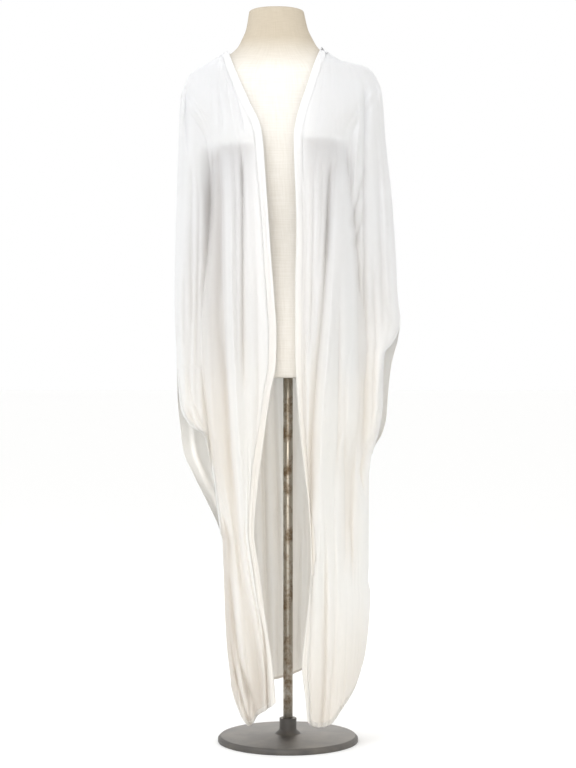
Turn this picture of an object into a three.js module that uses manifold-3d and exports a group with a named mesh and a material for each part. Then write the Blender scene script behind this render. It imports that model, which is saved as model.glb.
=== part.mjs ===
// Long open-front kimono coat, sleeves cut in one, hanging on a limbless dress form.
// Millimetres, +Z up. The front faces -Y, so the wearer's right is -X. The floor is z = 0, under the pole.
import * as THREE from "three";
import { mergeVertices } from "three/addons/utils/BufferGeometryUtils.js";
import Module from "manifold-3d";

// Cloth
const WALL = 2;
const BAND_WALL = 2.4;
const BAND_WIDTH = 16;
const SEAM = 0.3;
const CLOTH_CLEAR = 3.6; // outer face of the cloth to the form, at the least
const FRONT = -1;
const BACK = 1;

// Levels: every row of the cloth has a nominal height, and the last one is bent to the hem.
const NECK_LEVEL = 1377;
const NECK_TILT = 8; // the wearer's left neck point is higher
const NECK_TILT_FROM = 1335;
const NECK_RISE = 7; // the band climbs the back of the neck
const YOKE_LEVEL = 1369; // the back panel starts here, under the band
const HEM_LEVEL = 100;
const HEM_BLEND = 330;
const ROW_RUNS = [
  { from: 1365, to: 1306, rows: 6 },
  { from: 1306, to: 1176, rows: 6 },
  { from: 1176, to: 660, rows: 13 },
  { from: 660, to: 600, rows: 2 },
  { from: 600, to: HEM_LEVEL, rows: 13 },
];
const FRONT_COLUMNS = 18;
const BACK_COLUMNS = 26;
const NECK_STATIONS = 12;
const SECTION_STEPS = 160;

// Side line of the coat: the shoulder ridge, the fold over the arm, the sleeve's end and the side seam.
const SIDE_RIGHT = [
  { z: 1377, x: -121 },
  { z: 1361, x: -147 },
  { z: 1349, x: -167 },
  { z: 1341, x: -183 },
  { z: 1329, x: -197 },
  { z: 1313, x: -205 },
  { z: 1281, x: -215 },
  { z: 1181, x: -219 },
  { z: 1001, x: -225 },
  { z: 881, x: -227 },
  { z: 771, x: -223 },
  { z: 681, x: -221 },
  { z: 621, x: -215 },
  { z: 577, x: -209 },
  { z: 531, x: -189 },
  { z: 479, x: -163 },
  { z: 427, x: -139 },
  { z: 400, x: -131 },
  { z: 281, x: -127 },
  { z: 201, x: -123 },
  { z: 111, x: -113 },
];
const SIDE_LEFT = [
  { z: 1385, x: 67 },
  { z: 1373, x: 83 },
  { z: 1355, x: 113 },
  { z: 1350, x: 138 },
  { z: 1343, x: 161 },
  { z: 1323, x: 177 },
  { z: 1291, x: 188 },
  { z: 1201, x: 195 },
  { z: 1081, x: 208 },
  { z: 981, x: 215 },
  { z: 881, x: 220 },
  { z: 841, x: 225 },
  { z: 807, x: 221 },
  { z: 751, x: 207 },
  { z: 701, x: 201 },
  { z: 647, x: 197 },
  { z: 615, x: 189 },
  { z: 587, x: 173 },
  { z: 565, x: 166 },
  { z: 521, x: 162 },
  { z: 321, x: 161 },
  { z: 297, x: 165 },
  { z: 241, x: 162 },
  { z: 171, x: 153 },
  { z: 141, x: 143 },
];
// Finished front edges, from the neck points down to the hem corners.
const EDGE_RIGHT = [
  { z: 1377, x: -121 },
  { z: 1347, x: -110 },
  { z: 1309, x: -95 },
  { z: 1257, x: -73 },
  { z: 1214, x: -54 },
  { z: 1190, x: -49 },
  { z: 1126, x: -44 },
  { z: 962, x: -33 },
  { z: 875, x: -26 },
  { z: 810, x: -22 },
  { z: 755, x: -23 },
  { z: 692, x: -34 },
  { z: 617, x: -45 },
  { z: 536, x: -56 },
  { z: 422, x: -66 },
  { z: 361, x: -57 },
  { z: 240, x: -41 },
  { z: 150, x: -28 },
  { z: 95, x: -24 },
];
const EDGE_LEFT = [
  { z: 1385, x: 67 },
  { z: 1351, x: 54 },
  { z: 1287, x: 34 },
  { z: 1256, x: 24 },
  { z: 1220, x: 15 },
  { z: 1190, x: 11 },
  { z: 1010, x: 16 },
  { z: 900, x: 14 },
  { z: 788, x: 14 },
  { z: 725, x: 16 },
  { z: 634, x: 22 },
  { z: 563, x: 30 },
  { z: 482, x: 40 },
  { z: 387, x: 45 },
  { z: 320, x: 42 },
  { z: 239, x: 34 },
  { z: 165, x: 27 },
  { z: 104, x: 34 },
  { z: 59, x: 38 },
];
// Front layer of each sleeve's end, where it leaves the side line and where it meets it again.
const CUFF_RIGHT = [
  { z: 745, x: -221.5 },
  { z: 681, x: -216 },
  { z: 657, x: -211 },
  { z: 632, x: -195 },
  { z: 609, x: -165 },
  { z: 565, x: -156 },
  { z: 507, x: -146 },
  { z: 411, x: -133.5 },
];
const CUFF_LEFT = [
  { z: 833, x: 224.7 },
  { z: 811, x: 217 },
  { z: 791, x: 205 },
  { z: 775, x: 191 },
  { z: 721, x: 188 },
  { z: 681, x: 188 },
  { z: 632, x: 183 },
  { z: 571, x: 167.5 },
];
// Hem heights across each panel: share 0 is the front edge (the right side line on the back), share 1 the side line.
const HEM_RIGHT = [
  { share: 0, z: 95 },
  { share: 0.18, z: 80 },
  { share: 0.39, z: 64 },
  { share: 0.57, z: 43 },
  { share: 0.73, z: 57 },
  { share: 0.85, z: 76 },
  { share: 1, z: 111 },
];
const HEM_LEFT = [
  { share: 0, z: 59 },
  { share: 0.1, z: 49 },
  { share: 0.26, z: 45 },
  { share: 0.4, z: 49 },
  { share: 0.65, z: 80 },
  { share: 0.85, z: 108 },
  { share: 1, z: 141 },
];
const HEM_BACK = [
  { share: 0, z: 111 },
  { share: 0.3, z: 104 },
  { share: 0.42, z: 110 },
  { share: 0.58, z: 124 },
  { share: 0.75, z: 130 },
  { share: 1, z: 141 },
];

// How far the cloth stands before and behind the side lines.
const DEPTH = [
  { z: 1390, front: 50, back: 58 },
  { z: 1377, front: 54, back: 61 },
  { z: 1361, front: 60, back: 68 },
  { z: 1345, front: 66, back: 77 },
  { z: 1325, front: 74, back: 88 },
  { z: 1300, front: 86, back: 98 },
  { z: 1270, front: 102, back: 106 },
  { z: 1235, front: 119, back: 110 },
  { z: 1205, front: 130, back: 111 },
  { z: 1188, front: 133, back: 111 },
  { z: 1150, front: 132, back: 112 },
  { z: 1000, front: 128, back: 114 },
  { z: 900, front: 127, back: 120 },
  { z: 800, front: 127, back: 127 },
  { z: 700, front: 125, back: 126 },
  { z: 500, front: 119, back: 120 },
  { z: 300, front: 113, back: 115 },
  { z: 100, front: 108, back: 111 },
];
// The long valleys between the body of the coat and its hanging sleeves: place and depth of the cloth there.
const VALLEY_RIGHT = [
  { z: 1310, x: -206, depth: 10 },
  { z: 1260, x: -186, depth: 50 },
  { z: 1220, x: -163, depth: 60 },
  { z: 1181, x: -150, depth: 60 },
  { z: 1081, x: -151, depth: 46 },
  { z: 981, x: -156, depth: 42 },
  { z: 881, x: -166, depth: 42 },
  { z: 801, x: -170, depth: 42 },
  { z: 721, x: -166, depth: 40 },
  { z: 641, x: -158, depth: 36 },
  { z: 561, x: -150, depth: 30 },
  { z: 481, x: -140, depth: 20 },
  { z: 411, x: -131, depth: 8 },
  { z: 380, x: -130, depth: 0 },
];
const VALLEY_LEFT = [
  { z: 1320, x: 178, depth: 10 },
  { z: 1280, x: 162, depth: 56 },
  { z: 1240, x: 136, depth: 78 },
  { z: 1201, x: 116, depth: 82 },
  { z: 1111, x: 121, depth: 56 },
  { z: 1041, x: 128, depth: 48 },
  { z: 961, x: 134, depth: 48 },
  { z: 881, x: 139, depth: 54 },
  { z: 801, x: 144, depth: 60 },
  { z: 721, x: 146, depth: 52 },
  { z: 661, x: 145, depth: 44 },
  { z: 601, x: 141, depth: 36 },
  { z: 541, x: 140, depth: 26 },
  { z: 481, x: 152, depth: 12 },
  { z: 441, x: 161, depth: 0 },
];
const BODY_POWER = 2.3;
const SLEEVE_SWELL = 7; // the sleeve's own roundness beside the valley
const BACK_VALLEY_FILL = 0.45; // the same valleys are shallower behind

// Largest folds: x at four even steps from the top of the fold to its end. A trough has a minus depth.
const FOLDS_FRONT = [
  { top: 1180, end: 95, x0: -137, x1: -124, x2: -101, x3: -53, width: 9, depth: -11 },
  { top: 1185, end: 640, x0: -88, x1: -88, x2: -87, x3: -82, width: 8, depth: -5 },
  { top: 1000, end: 330, x0: -112, x1: -112, x2: -100, x3: -84, width: 9, depth: 4 },
  { top: 330, end: 90, x0: -118, x1: -108, x2: -96, x3: -76, width: 8, depth: -7 },
  { top: 500, end: 80, x0: -60, x1: -58, x2: -50, x3: -40, width: 6, depth: -7 },
  { top: 1345, end: 1215, x0: -122, x1: -110, x2: -100, x3: -88, width: 8, depth: -3 },
  { top: 1340, end: 1195, x0: -152, x1: -144, x2: -136, x3: -130, width: 8, depth: -3 },
  { top: 1160, end: 440, x0: 81, x1: 70, x2: 52, x3: 46, width: 9, depth: -13 },
  { top: 1180, end: 300, x0: 48, x1: 46, x2: 74, x3: 70, width: 10, depth: 4 },
  { top: 1180, end: 240, x0: 100, x1: 104, x2: 96, x3: 84, width: 10, depth: -6 },
  { top: 620, end: 100, x0: 124, x1: 118, x2: 110, x3: 96, width: 11, depth: -7 },
  { top: 420, end: 60, x0: 74, x1: 70, x2: 64, x3: 58, width: 9, depth: -5 },
  { top: 1290, end: 700, x0: 158, x1: 162, x2: 168, x3: 172, width: 8, depth: -6 },
  { top: 1200, end: 720, x0: -192, x1: -194, x2: -196, x3: -196, width: 9, depth: -5 },
];
const FOLDS_BACK = [
  { top: 1250, end: 110, x0: -118, x1: -112, x2: -96, x3: -74, width: 12, depth: -11 },
  { top: 1180, end: 110, x0: -62, x1: -58, x2: -52, x3: -40, width: 11, depth: -8 },
  { top: 1260, end: 110, x0: -8, x1: -6, x2: 4, x3: 8, width: 12, depth: -7 },
  { top: 1200, end: 120, x0: 48, x1: 52, x2: 56, x3: 60, width: 11, depth: -9 },
  { top: 1250, end: 130, x0: 96, x1: 104, x2: 104, x3: 108, width: 12, depth: -10 },
  { top: 1270, end: 760, x0: 160, x1: 168, x2: 176, x3: 180, width: 10, depth: -6 },
  { top: 1270, end: 640, x0: -184, x1: -190, x2: -192, x3: -186, width: 10, depth: -6 },
];
const FOLD_FADE = 110; // a fold comes and goes over this height

// Dress form: half width, front and back of the torso and neck, which lean to the wearer's right.
const FORM = [
  { z: 725, half: 158, front: 104, back: 108 },
  { z: 745, half: 163, front: 107, back: 112 },
  { z: 790, half: 167, front: 109, back: 117 },
  { z: 850, half: 163, front: 106, back: 114 },
  { z: 930, half: 143, front: 97, back: 97 },
  { z: 1010, half: 125, front: 91, back: 84 },
  { z: 1080, half: 130, front: 99, back: 87 },
  { z: 1140, half: 141, front: 106, back: 94 },
  { z: 1190, half: 149, front: 107, back: 99 },
  { z: 1230, half: 156, front: 99, back: 101 },
  { z: 1265, half: 168, front: 87, back: 98 },
  { z: 1295, half: 177, front: 76, back: 92 },
  { z: 1318, half: 174, front: 67, back: 83 },
  { z: 1333, half: 163, front: 62, back: 76 },
  { z: 1343, half: 148, front: 59, back: 70 },
  { z: 1352, half: 131, front: 56, back: 65 },
  { z: 1361, half: 111, front: 53, back: 61 },
  { z: 1372, half: 94, front: 50, back: 57 },
  { z: 1385, half: 80, front: 47, back: 53 },
  { z: 1401, half: 71, front: 45, back: 50 },
  { z: 1421, half: 62, front: 43, back: 47 },
  { z: 1455, half: 55, front: 41, back: 44 },
];
const FORM_POWER = 2.25;
const FORM_BOTTOM = 725;
const FORM_TOP = 1455;
const FORM_COLUMNS = 28;
const LEAN = Math.tan(THREE.MathUtils.degToRad(1.8));
const BUST = { x: 72, z: 1192, spreadX: 38, spreadZ: 44, height: 15 };
const NECK_DOME = 9;

// Stand
const POLE_RADIUS = 9.5;
const POLE_SOCKET = 60;
const BASE_RADIUS = 140;
const BASE_THICK = 12;
const COLLAR_RADIUS = 17;
const COLLAR_TOP = 46;

const linen = new THREE.MeshStandardMaterial({ color: "#d9cfbf", roughness: 0.9 });
const crepe = new THREE.MeshStandardMaterial({ color: "#f1f1ee", roughness: 0.85 });
const bandCloth = new THREE.MeshStandardMaterial({ color: "#f6f6f4", roughness: 0.85 });
const steel = new THREE.MeshStandardMaterial({ color: "#857c70", roughness: 0.45, metalness: 0.9 });
const iron = new THREE.MeshStandardMaterial({ color: "#5d5852", roughness: 0.6, metalness: 0.7 });

const clamp = THREE.MathUtils.clamp;
const lerp = THREE.MathUtils.lerp;
const smoothstep = THREE.MathUtils.smoothstep;

// A smooth curve through a table's rows that never overshoots them: value of one column at a key.
function curve(table, key, column) {
  const rows = [...table].sort((a, b) => a[key] - b[key]);
  const k = rows.map((row) => row[key]);
  const v = rows.map((row) => row[column]);
  const rise = k.slice(1).map((ki, i) => (v[i + 1] - v[i]) / (ki - k[i]));
  const slope = v.map((_, i) => {
    if (i === 0) return rise[0];
    if (i === v.length - 1) return rise[i - 1];
    const product = rise[i - 1] * rise[i];
    return product <= 0 ? 0 : (2 * product) / (rise[i - 1] + rise[i]);
  });
  return (at) => {
    const t = clamp(at, k[0], k[k.length - 1]);
    let i = 0;
    while (i < k.length - 2 && t > k[i + 1]) i++;
    const h = k[i + 1] - k[i];
    const s = (t - k[i]) / h;
    const a = (1 + 2 * s) * (1 - s) * (1 - s);
    const b = s * (1 - s) * (1 - s);
    const c = s * s * (3 - 2 * s);
    const d = s * s * (s - 1);
    return a * v[i] + b * h * slope[i] + c * v[i + 1] + d * h * slope[i + 1];
  };
}

const side = { right: curve(SIDE_RIGHT, "z", "x"), left: curve(SIDE_LEFT, "z", "x") };
const edge = { right: curve(EDGE_RIGHT, "z", "x"), left: curve(EDGE_LEFT, "z", "x") };
const cuff = { right: curve(CUFF_RIGHT, "z", "x"), left: curve(CUFF_LEFT, "z", "x") };
const cuffSpan = {
  right: { top: CUFF_RIGHT[0].z, end: CUFF_RIGHT.at(-1).z },
  left: { top: CUFF_LEFT[0].z, end: CUFF_LEFT.at(-1).z },
};
const hem = {
  right: curve(HEM_RIGHT, "share", "z"),
  left: curve(HEM_LEFT, "share", "z"),
  back: curve(HEM_BACK, "share", "z"),
};
const valleyX = { right: curve(VALLEY_RIGHT, "z", "x"), left: curve(VALLEY_LEFT, "z", "x") };
const valleyDepth = { right: curve(VALLEY_RIGHT, "z", "depth"), left: curve(VALLEY_LEFT, "z", "depth") };
const reach = { [FRONT]: curve(DEPTH, "z", "front"), [BACK]: curve(DEPTH, "z", "back") };
const form = {
  half: curve(FORM, "z", "half"),
  [FRONT]: curve(FORM, "z", "front"),
  [BACK]: curve(FORM, "z", "back"),
};

const tilt = (level) => NECK_TILT * smoothstep(level, NECK_TILT_FROM, NECK_LEVEL);
const hemWeight = (level) => 1 - smoothstep(level, HEM_LEVEL, HEM_BLEND);
const leanX = (z) => -LEAN * (z - FORM_BOTTOM);
const softMax = (a, b, blend) => (a + b + Math.sqrt((a - b) ** 2 + blend ** 2)) / 2;
const dome = (share, power) => Math.max(0, 1 - Math.abs(share) ** power) ** (1 / power);

// Side lines and front edges at a row's nominal level.
function sideX(hand, level) {
  const shift = hemWeight(level) * (hem[hand](1) - HEM_LEVEL);
  return side[hand](level + shift + (hand === "left" ? tilt(level) : 0));
}
function edgeX(hand, level) {
  const shift = hemWeight(level) * (hem[hand](0) - HEM_LEVEL);
  return edge[hand](level + shift + (hand === "left" ? tilt(level) : 0));
}

// How far the form's surface stands before or behind its middle plane; it falls below zero beyond the form.
function formDepth(face, x, z) {
  const share = (x - leanX(z)) / form.half(z);
  const base = form[face](z);
  if (Math.abs(share) >= 1) return -4 * base * (Math.abs(share) - 1);
  return base * dome(share, FORM_POWER) + (face === FRONT ? bustAt(x, z) : 0);
}
function bustAt(x, z) {
  const across = Math.abs(x - leanX(z)) - BUST.x;
  const up = z - BUST.z;
  return BUST.height * Math.exp(-((across / BUST.spreadX) ** 2) - (up / BUST.spreadZ) ** 2);
}

function foldAt(folds, x, z) {
  let sum = 0;
  for (const fold of folds) {
    const t = (fold.top - z) / (fold.top - fold.end);
    if (t <= 0 || t >= 1) continue;
    const step = t * 3;
    const points = [fold.x0, fold.x1, fold.x2, fold.x3];
    const i = Math.min(2, Math.floor(step));
    const path = lerp(points[i], points[i + 1], step - i);
    const off = (x - path) / fold.width;
    const fade = Math.min(1, (fold.top - z) / FOLD_FADE, fold.end > 2 * HEM_LEVEL ? (z - fold.end) / FOLD_FADE : 1);
    sum += fold.depth * fade * (1.35 * Math.exp(-off * off) - 0.35 * Math.exp(-off * off / 4));
  }
  return sum;
}

// How far the outer face of the cloth stands before or behind the side lines.
function clothDepth(face, level, x) {
  const right = sideX("right", level);
  const left = sideX("left", level);
  const middle = (right + left) / 2;
  const hand = x < middle ? "right" : "left";
  const sideHalf = Math.abs((hand === "right" ? right : left) - middle);
  const valleyHalf = Math.min(Math.abs(valleyX[hand](level) - middle), sideHalf);
  const out = Math.abs(x - middle);
  const full = reach[face](level);
  let low = level > 1320 || valleyHalf >= sideHalf ? 0 : Math.min(valleyDepth[hand](level), full);
  if (face === BACK) low = lerp(low, full, BACK_VALLEY_FILL * Math.min(1, low / 30));
  let depth;
  if (out < valleyHalf) {
    depth = low + (full - low) * dome(out / valleyHalf, BODY_POWER);
  } else {
    const share = clamp((out - valleyHalf) / Math.max(1e-6, sideHalf - valleyHalf), 0, 1);
    depth = low * Math.sqrt(1 - share * share) + Math.min(1, low / 30) * SLEEVE_SWELL * 4 * share * (1 - share);
  }
  const atSide = smoothstep(sideHalf - out, 0, 25);
  depth += foldAt(face === FRONT ? FOLDS_FRONT : FOLDS_BACK, x, level) * atSide;
  if (face === FRONT) depth += hangingBust(x, level) * atSide;
  const below = Math.max(0, FORM_BOTTOM - level);
  return softMax(Math.max(depth, 0), formDepth(face, x, level) + CLOTH_CLEAR - below, 2);
}
// The cloth follows the bust from above and falls straight from it.
function hangingBust(x, level) {
  const across = Math.abs(x - leanX(level)) - BUST.x;
  const up = level - BUST.z;
  const fall = up > 0 ? Math.exp(-((up / BUST.spreadZ) ** 2)) : Math.exp(up / 400);
  return 6 * Math.exp(-((across / 50) ** 2)) * fall;
}

// A point of the outer face: x across at a row's nominal level, before or behind the side lines.
function skin(face, level, x) {
  const right = sideX("right", level);
  const left = sideX("left", level);
  let z = level + tilt(level) * clamp((x - right) / (left - right), 0, 1);
  const weight = hemWeight(level);
  if (weight > 0 && face === BACK) z += weight * (hem.back((x - right) / (left - right)) - HEM_LEVEL);
  if (weight > 0 && face === FRONT) {
    const hand = x < (right + left) / 2 - 8 ? "right" : "left";
    const start = edgeX(hand, level);
    const share = clamp((x - start) / (sideX(hand, level) - start), 0, 1);
    z += weight * (hem[hand](share) - HEM_LEVEL);
  }
  return new THREE.Vector3(x, face * (clothDepth(face, level, x) + SEAM / 2), z);
}

// Which way the outer face looks at that point.
function outward(face, level, x) {
  const across = skin(face, level, x + 1).sub(skin(face, level, x - 1));
  const down = skin(face, level - 2, x).sub(skin(face, level + 2, x));
  const normal = across.cross(down).normalize();
  return normal.y * face < 0 ? normal.negate() : normal;
}

// Points evenly spaced along a row between two x, by length along the cloth.
function evenRow(face, level, fromX, toX, count) {
  const fine = [];
  for (let i = 0; i <= SECTION_STEPS; i++) {
    // steps crowd at the far end, where the row turns across the view
    const share = Math.sin((i / SECTION_STEPS) * Math.PI * 0.5);
    fine.push(skin(face, level, lerp(fromX, toX, share)));
  }
  return resample(fine, count);
}
function resample(points, count) {
  const along = [0];
  for (let i = 1; i < points.length; i++) along.push(along[i - 1] + points[i].distanceTo(points[i - 1]));
  const total = along.at(-1);
  const row = [];
  let i = 0;
  for (let j = 0; j <= count; j++) {
    const want = (total * j) / count;
    while (i < points.length - 2 && along[i + 1] < want) i++;
    const share = (want - along[i]) / Math.max(1e-9, along[i + 1] - along[i]);
    row.push(points[i].clone().lerp(points[i + 1], clamp(share, 0, 1)));
  }
  return row;
}

// Outer end of a front panel's row: the side line, or the sleeve's open end.
function outerX(hand, level) {
  const line = sideX(hand, level);
  const span = cuffSpan[hand];
  if (level > span.top || level < span.end) return line;
  const open = cuff[hand](level);
  return Math.abs(open) < Math.abs(line) ? open : line;
}

// A point of a front edge, and the band's seam, a band's width away from it along the cloth.
const edgePoint = (hand, level) => skin(FRONT, level, edgeX(hand, level));
function seamPoint(hand, level) {
  const outward = hand === "right" ? -1 : 1;
  const start = edgePoint(hand, level);
  const downEdge = edgePoint(hand, level - 2).sub(start).normalize();
  const along = skin(FRONT, level, start.x + outward).sub(start).normalize();
  const across = along.clone().addScaledVector(downEdge, -along.dot(downEdge)).normalize();
  const x = start.x + across.x * BAND_WIDTH;
  return skin(FRONT, level + across.z * BAND_WIDTH, x);
}
function bandStation(hand, level) {
  if (level < 1100) {
    const start = edgePoint(hand, level);
    const far = sideX(hand, level);
    let x = start.x;
    while (skin(FRONT, level, x).distanceTo(start) < BAND_WIDTH) x += Math.sign(far - start.x) * 0.25;
    return { edge: start, seam: skin(FRONT, level, x), outward: outward(FRONT, level, x) };
  }
  let low = level - 5;
  let high = NECK_LEVEL + 4;
  for (let i = 0; i < 40; i++) {
    const at = (low + high) / 2;
    if (seamPoint(hand, at).z < skin(FRONT, level, edgeX(hand, at)).z) low = at;
    else high = at;
  }
  const seam = seamPoint(hand, low);
  return { edge: edgePoint(hand, low), seam, outward: outward(FRONT, level, seam.x) };
}

const levels = [ROW_RUNS[0].from];
for (const run of ROW_RUNS)
  for (let i = 1; i <= run.rows; i++) levels.push(lerp(run.from, run.to, i / run.rows));

// A closed wall from a grid of outer points. Rows run down the cloth, and the thickness goes inwards.
function wallGeometry(grid, thickness) {
  const rows = grid.length;
  const columns = grid[0].length;
  const centre = new THREE.Vector3();
  let turned = 0;
  const normals = grid.map((row, i) =>
    row.map((point, j) => {
      const down = grid[Math.min(i + 1, rows - 1)][j].clone().sub(grid[Math.max(i - 1, 0)][j]);
      const across = row[Math.min(j + 1, columns - 1)].clone().sub(row[Math.max(j - 1, 0)]);
      const normal = across.cross(down).normalize();
      centre.set(leanX(Math.max(point.z, FORM_BOTTOM)), 0, point.z - 120 * smoothstep(point.z, 1250, 1377));
      turned += Math.sign(normal.dot(point.clone().sub(centre)));
      return normal;
    }),
  );
  const outwards = turned > 0 ? 1 : -1;
  const positions = [];
  grid.forEach((row) => row.forEach((point) => positions.push(point.x, point.y, point.z)));
  grid.forEach((row, i) =>
    row.forEach((point, j) => {
      const normal = normals[i][j].multiplyScalar(outwards);
      if (point.outward) normal.copy(point.outward);
      // on a seam at the side the wall's end stays in the seam's own plane
      if (Math.abs(point.y) < 1) normal.setY(0).normalize();
      const inner = point.clone().addScaledVector(normal, -thickness);
      positions.push(inner.x, inner.y, inner.z);
    }),
  );
  const index = [];
  const inside = rows * columns;
  const quad = (a, b, c, d) => index.push(a, b, c, a, c, d);
  for (let i = 0; i < rows - 1; i++)
    for (let j = 0; j < columns - 1; j++) {
      const a = i * columns + j;
      quad(a, a + 1, a + columns + 1, a + columns);
      quad(inside + a, inside + a + columns, inside + a + columns + 1, inside + a + 1);
    }
  const rim = [];
  for (let j = 0; j < columns - 1; j++) rim.push(j);
  for (let i = 0; i < rows - 1; i++) rim.push(i * columns + columns - 1);
  for (let j = columns - 1; j > 0; j--) rim.push((rows - 1) * columns + j);
  for (let i = rows - 1; i > 0; i--) rim.push(i * columns);
  rim.forEach((a, k) => {
    const b = rim[(k + 1) % rim.length];
    quad(b, a, inside + a, inside + b);
  });
  if (outwards < 0) for (let i = 0; i < index.length; i += 3) [index[i], index[i + 1]] = [index[i + 1], index[i]];
  const geometry = new THREE.BufferGeometry();
  geometry.setAttribute("position", new THREE.Float32BufferAttribute(positions, 3));
  geometry.setIndex(index);
  geometry.computeVertexNormals();
  return geometry;
}

function frontPanel(hand) {
  const stations = levels.map((level) => bandStation(hand, level));
  const grid = levels.map((level, i) => {
    const sign = hand === "right" ? -1 : 1;
    const row = evenRow(FRONT, level, stations[i].seam.x + sign * 3 * SEAM, outerX(hand, level), FRONT_COLUMNS);
    row[0].outward = stations[i].outward;
    return row;
  });
  return wallGeometry(grid, WALL);
}

function backPanel() {
  const grid = [YOKE_LEVEL - 2 * SEAM, ...levels].map((level) => {
    const right = sideX("right", level);
    const left = sideX("left", level);
    const middle = (right + left) / 2;
    const half = [];
    for (let i = -SECTION_STEPS; i <= SECTION_STEPS; i++) {
      const share = Math.sin((i / SECTION_STEPS) * Math.PI * 0.5);
      half.push(skin(BACK, level, middle + (share * (left - right)) / 2));
    }
    return resample(half, BACK_COLUMNS);
  });
  return wallGeometry(grid, WALL);
}

// The band runs up the right front edge, round the neck and down the left front edge.
function neckBand() {
  const right = levels.map((level) => bandStation("right", level)).reverse();
  const left = levels.map((level) => bandStation("left", level));
  const round = [];
  for (let i = 0; i <= NECK_STATIONS; i++) {
    const share = i / NECK_STATIONS;
    const angle = Math.PI * (share - 0.5);
    const ring = (level) => {
      const a = sideX("right", level);
      const b = sideX("left", level);
      return skin(BACK, level, (a + b) / 2 + (Math.sin(angle) * (b - a)) / 2);
    };
    round.push({ edge: ring(NECK_LEVEL + NECK_RISE * Math.cos(angle) ** 2), seam: ring(YOKE_LEVEL) });
  }
  const grid = [...right, ...round, ...left].map((station) => {
    const seam = station.seam.clone();
    seam.outward = station.outward;
    return [station.edge, station.edge.clone().lerp(seam, 0.5), seam];
  });
  return wallGeometry(grid, BAND_WALL);
}

const wasm = await Module();
wasm.setup();
function toSolid(geometry) {
  const bare = geometry.clone();
  bare.deleteAttribute("normal");
  bare.deleteAttribute("uv");
  const merged = mergeVertices(bare, 1e-4);
  return new wasm.Manifold(
    new wasm.Mesh({
      numProp: 3,
      vertProperties: merged.attributes.position.array,
      triVerts: new Uint32Array(merged.index.array),
    }),
  );
}
function toGeometry(solid) {
  const mesh = solid.getMesh();
  const geometry = new THREE.BufferGeometry();
  geometry.setAttribute("position", new THREE.BufferAttribute(mesh.vertProperties, mesh.numProp));
  geometry.setIndex(new THREE.BufferAttribute(mesh.triVerts, 1));
  geometry.computeVertexNormals();
  return geometry;
}

// Torso and neck as rings of points, closed by a flat underside and a low dome on the neck.
function formTorso() {
  const heights = [];
  for (let z = FORM_BOTTOM; z < 1290; z += 31) heights.push(z);
  for (let z = 1290; z < FORM_TOP - 4; z += 12) heights.push(z);
  heights.push(FORM_TOP);
  const rings = heights.map((z) => formRing(z, 1));
  rings.push(formRing(FORM_TOP + NECK_DOME * 0.6, 0.8), formRing(FORM_TOP + NECK_DOME * 0.9, 0.45));
  const positions = rings.flat().flatMap((p) => [p.x, p.y, p.z]);
  const index = [];
  for (let i = 0; i < rings.length - 1; i++)
    for (let j = 0; j < FORM_COLUMNS; j++) {
      const a = i * FORM_COLUMNS + j;
      const b = i * FORM_COLUMNS + ((j + 1) % FORM_COLUMNS);
      index.push(a, b, b + FORM_COLUMNS, a, b + FORM_COLUMNS, a + FORM_COLUMNS);
    }
  const bottom = positions.length / 3;
  positions.push(0, 0, FORM_BOTTOM);
  positions.push(leanX(FORM_TOP), 0, FORM_TOP + NECK_DOME);
  const last = (rings.length - 1) * FORM_COLUMNS;
  for (let j = 0; j < FORM_COLUMNS; j++) {
    const next = (j + 1) % FORM_COLUMNS;
    index.push(bottom, next, j);
    index.push(bottom + 1, last + j, last + next);
  }
  const geometry = new THREE.BufferGeometry();
  geometry.setAttribute("position", new THREE.Float32BufferAttribute(positions, 3));
  geometry.setIndex(index);
  const socket = new THREE.CylinderGeometry(POLE_RADIUS + SEAM, POLE_RADIUS + SEAM, POLE_SOCKET + 20, 24);
  socket.rotateX(Math.PI / 2);
  socket.translate(0, 0, FORM_BOTTOM + (POLE_SOCKET - 20) / 2);
  return toGeometry(toSolid(geometry).subtract(toSolid(socket)));
}
function formRing(z, scale) {
  const at = Math.min(z, FORM_TOP);
  const ring = [];
  for (let j = 0; j < FORM_COLUMNS; j++) {
    const angle = (j / FORM_COLUMNS) * Math.PI * 2;
    const c = Math.cos(angle);
    const s = Math.sin(angle);
    const across = Math.sign(c) * Math.abs(c) ** (2 / FORM_POWER) * form.half(at) * scale;
    const face = s < 0 ? FRONT : BACK;
    const x = leanX(at) + across;
    const bust = face === FRONT ? bustAt(x, at) * Math.abs(s) : 0;
    const deep = Math.abs(s) ** (2 / FORM_POWER) * form[face](at) * scale + bust;
    ring.push(new THREE.Vector3(x, face * deep, z));
  }
  return ring;
}

function standPole() {
  const low = BASE_THICK + SEAM;
  const high = FORM_BOTTOM + POLE_SOCKET - SEAM;
  const pole = new THREE.CylinderGeometry(POLE_RADIUS, POLE_RADIUS, high - low, 24);
  pole.rotateX(Math.PI / 2);
  pole.translate(0, 0, (low + high) / 2);
  return pole;
}

function standBase() {
  const bore = POLE_RADIUS + SEAM;
  const profile = [
    [0, 0],
    [BASE_RADIUS - 2, 0],
    [BASE_RADIUS, 2],
    [BASE_RADIUS, BASE_THICK - 5],
    [BASE_RADIUS - 5, BASE_THICK],
    [COLLAR_RADIUS + 9, BASE_THICK + 3],
    [COLLAR_RADIUS, BASE_THICK + 11],
    [COLLAR_RADIUS, COLLAR_TOP - 2],
    [COLLAR_RADIUS - 2, COLLAR_TOP],
    [bore, COLLAR_TOP],
    [bore, BASE_THICK],
    [0, BASE_THICK],
  ].map(([r, z]) => new THREE.Vector2(r, z));
  const base = new THREE.LatheGeometry(profile, 36);
  base.rotateX(Math.PI / 2);
  return base;
}

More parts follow.
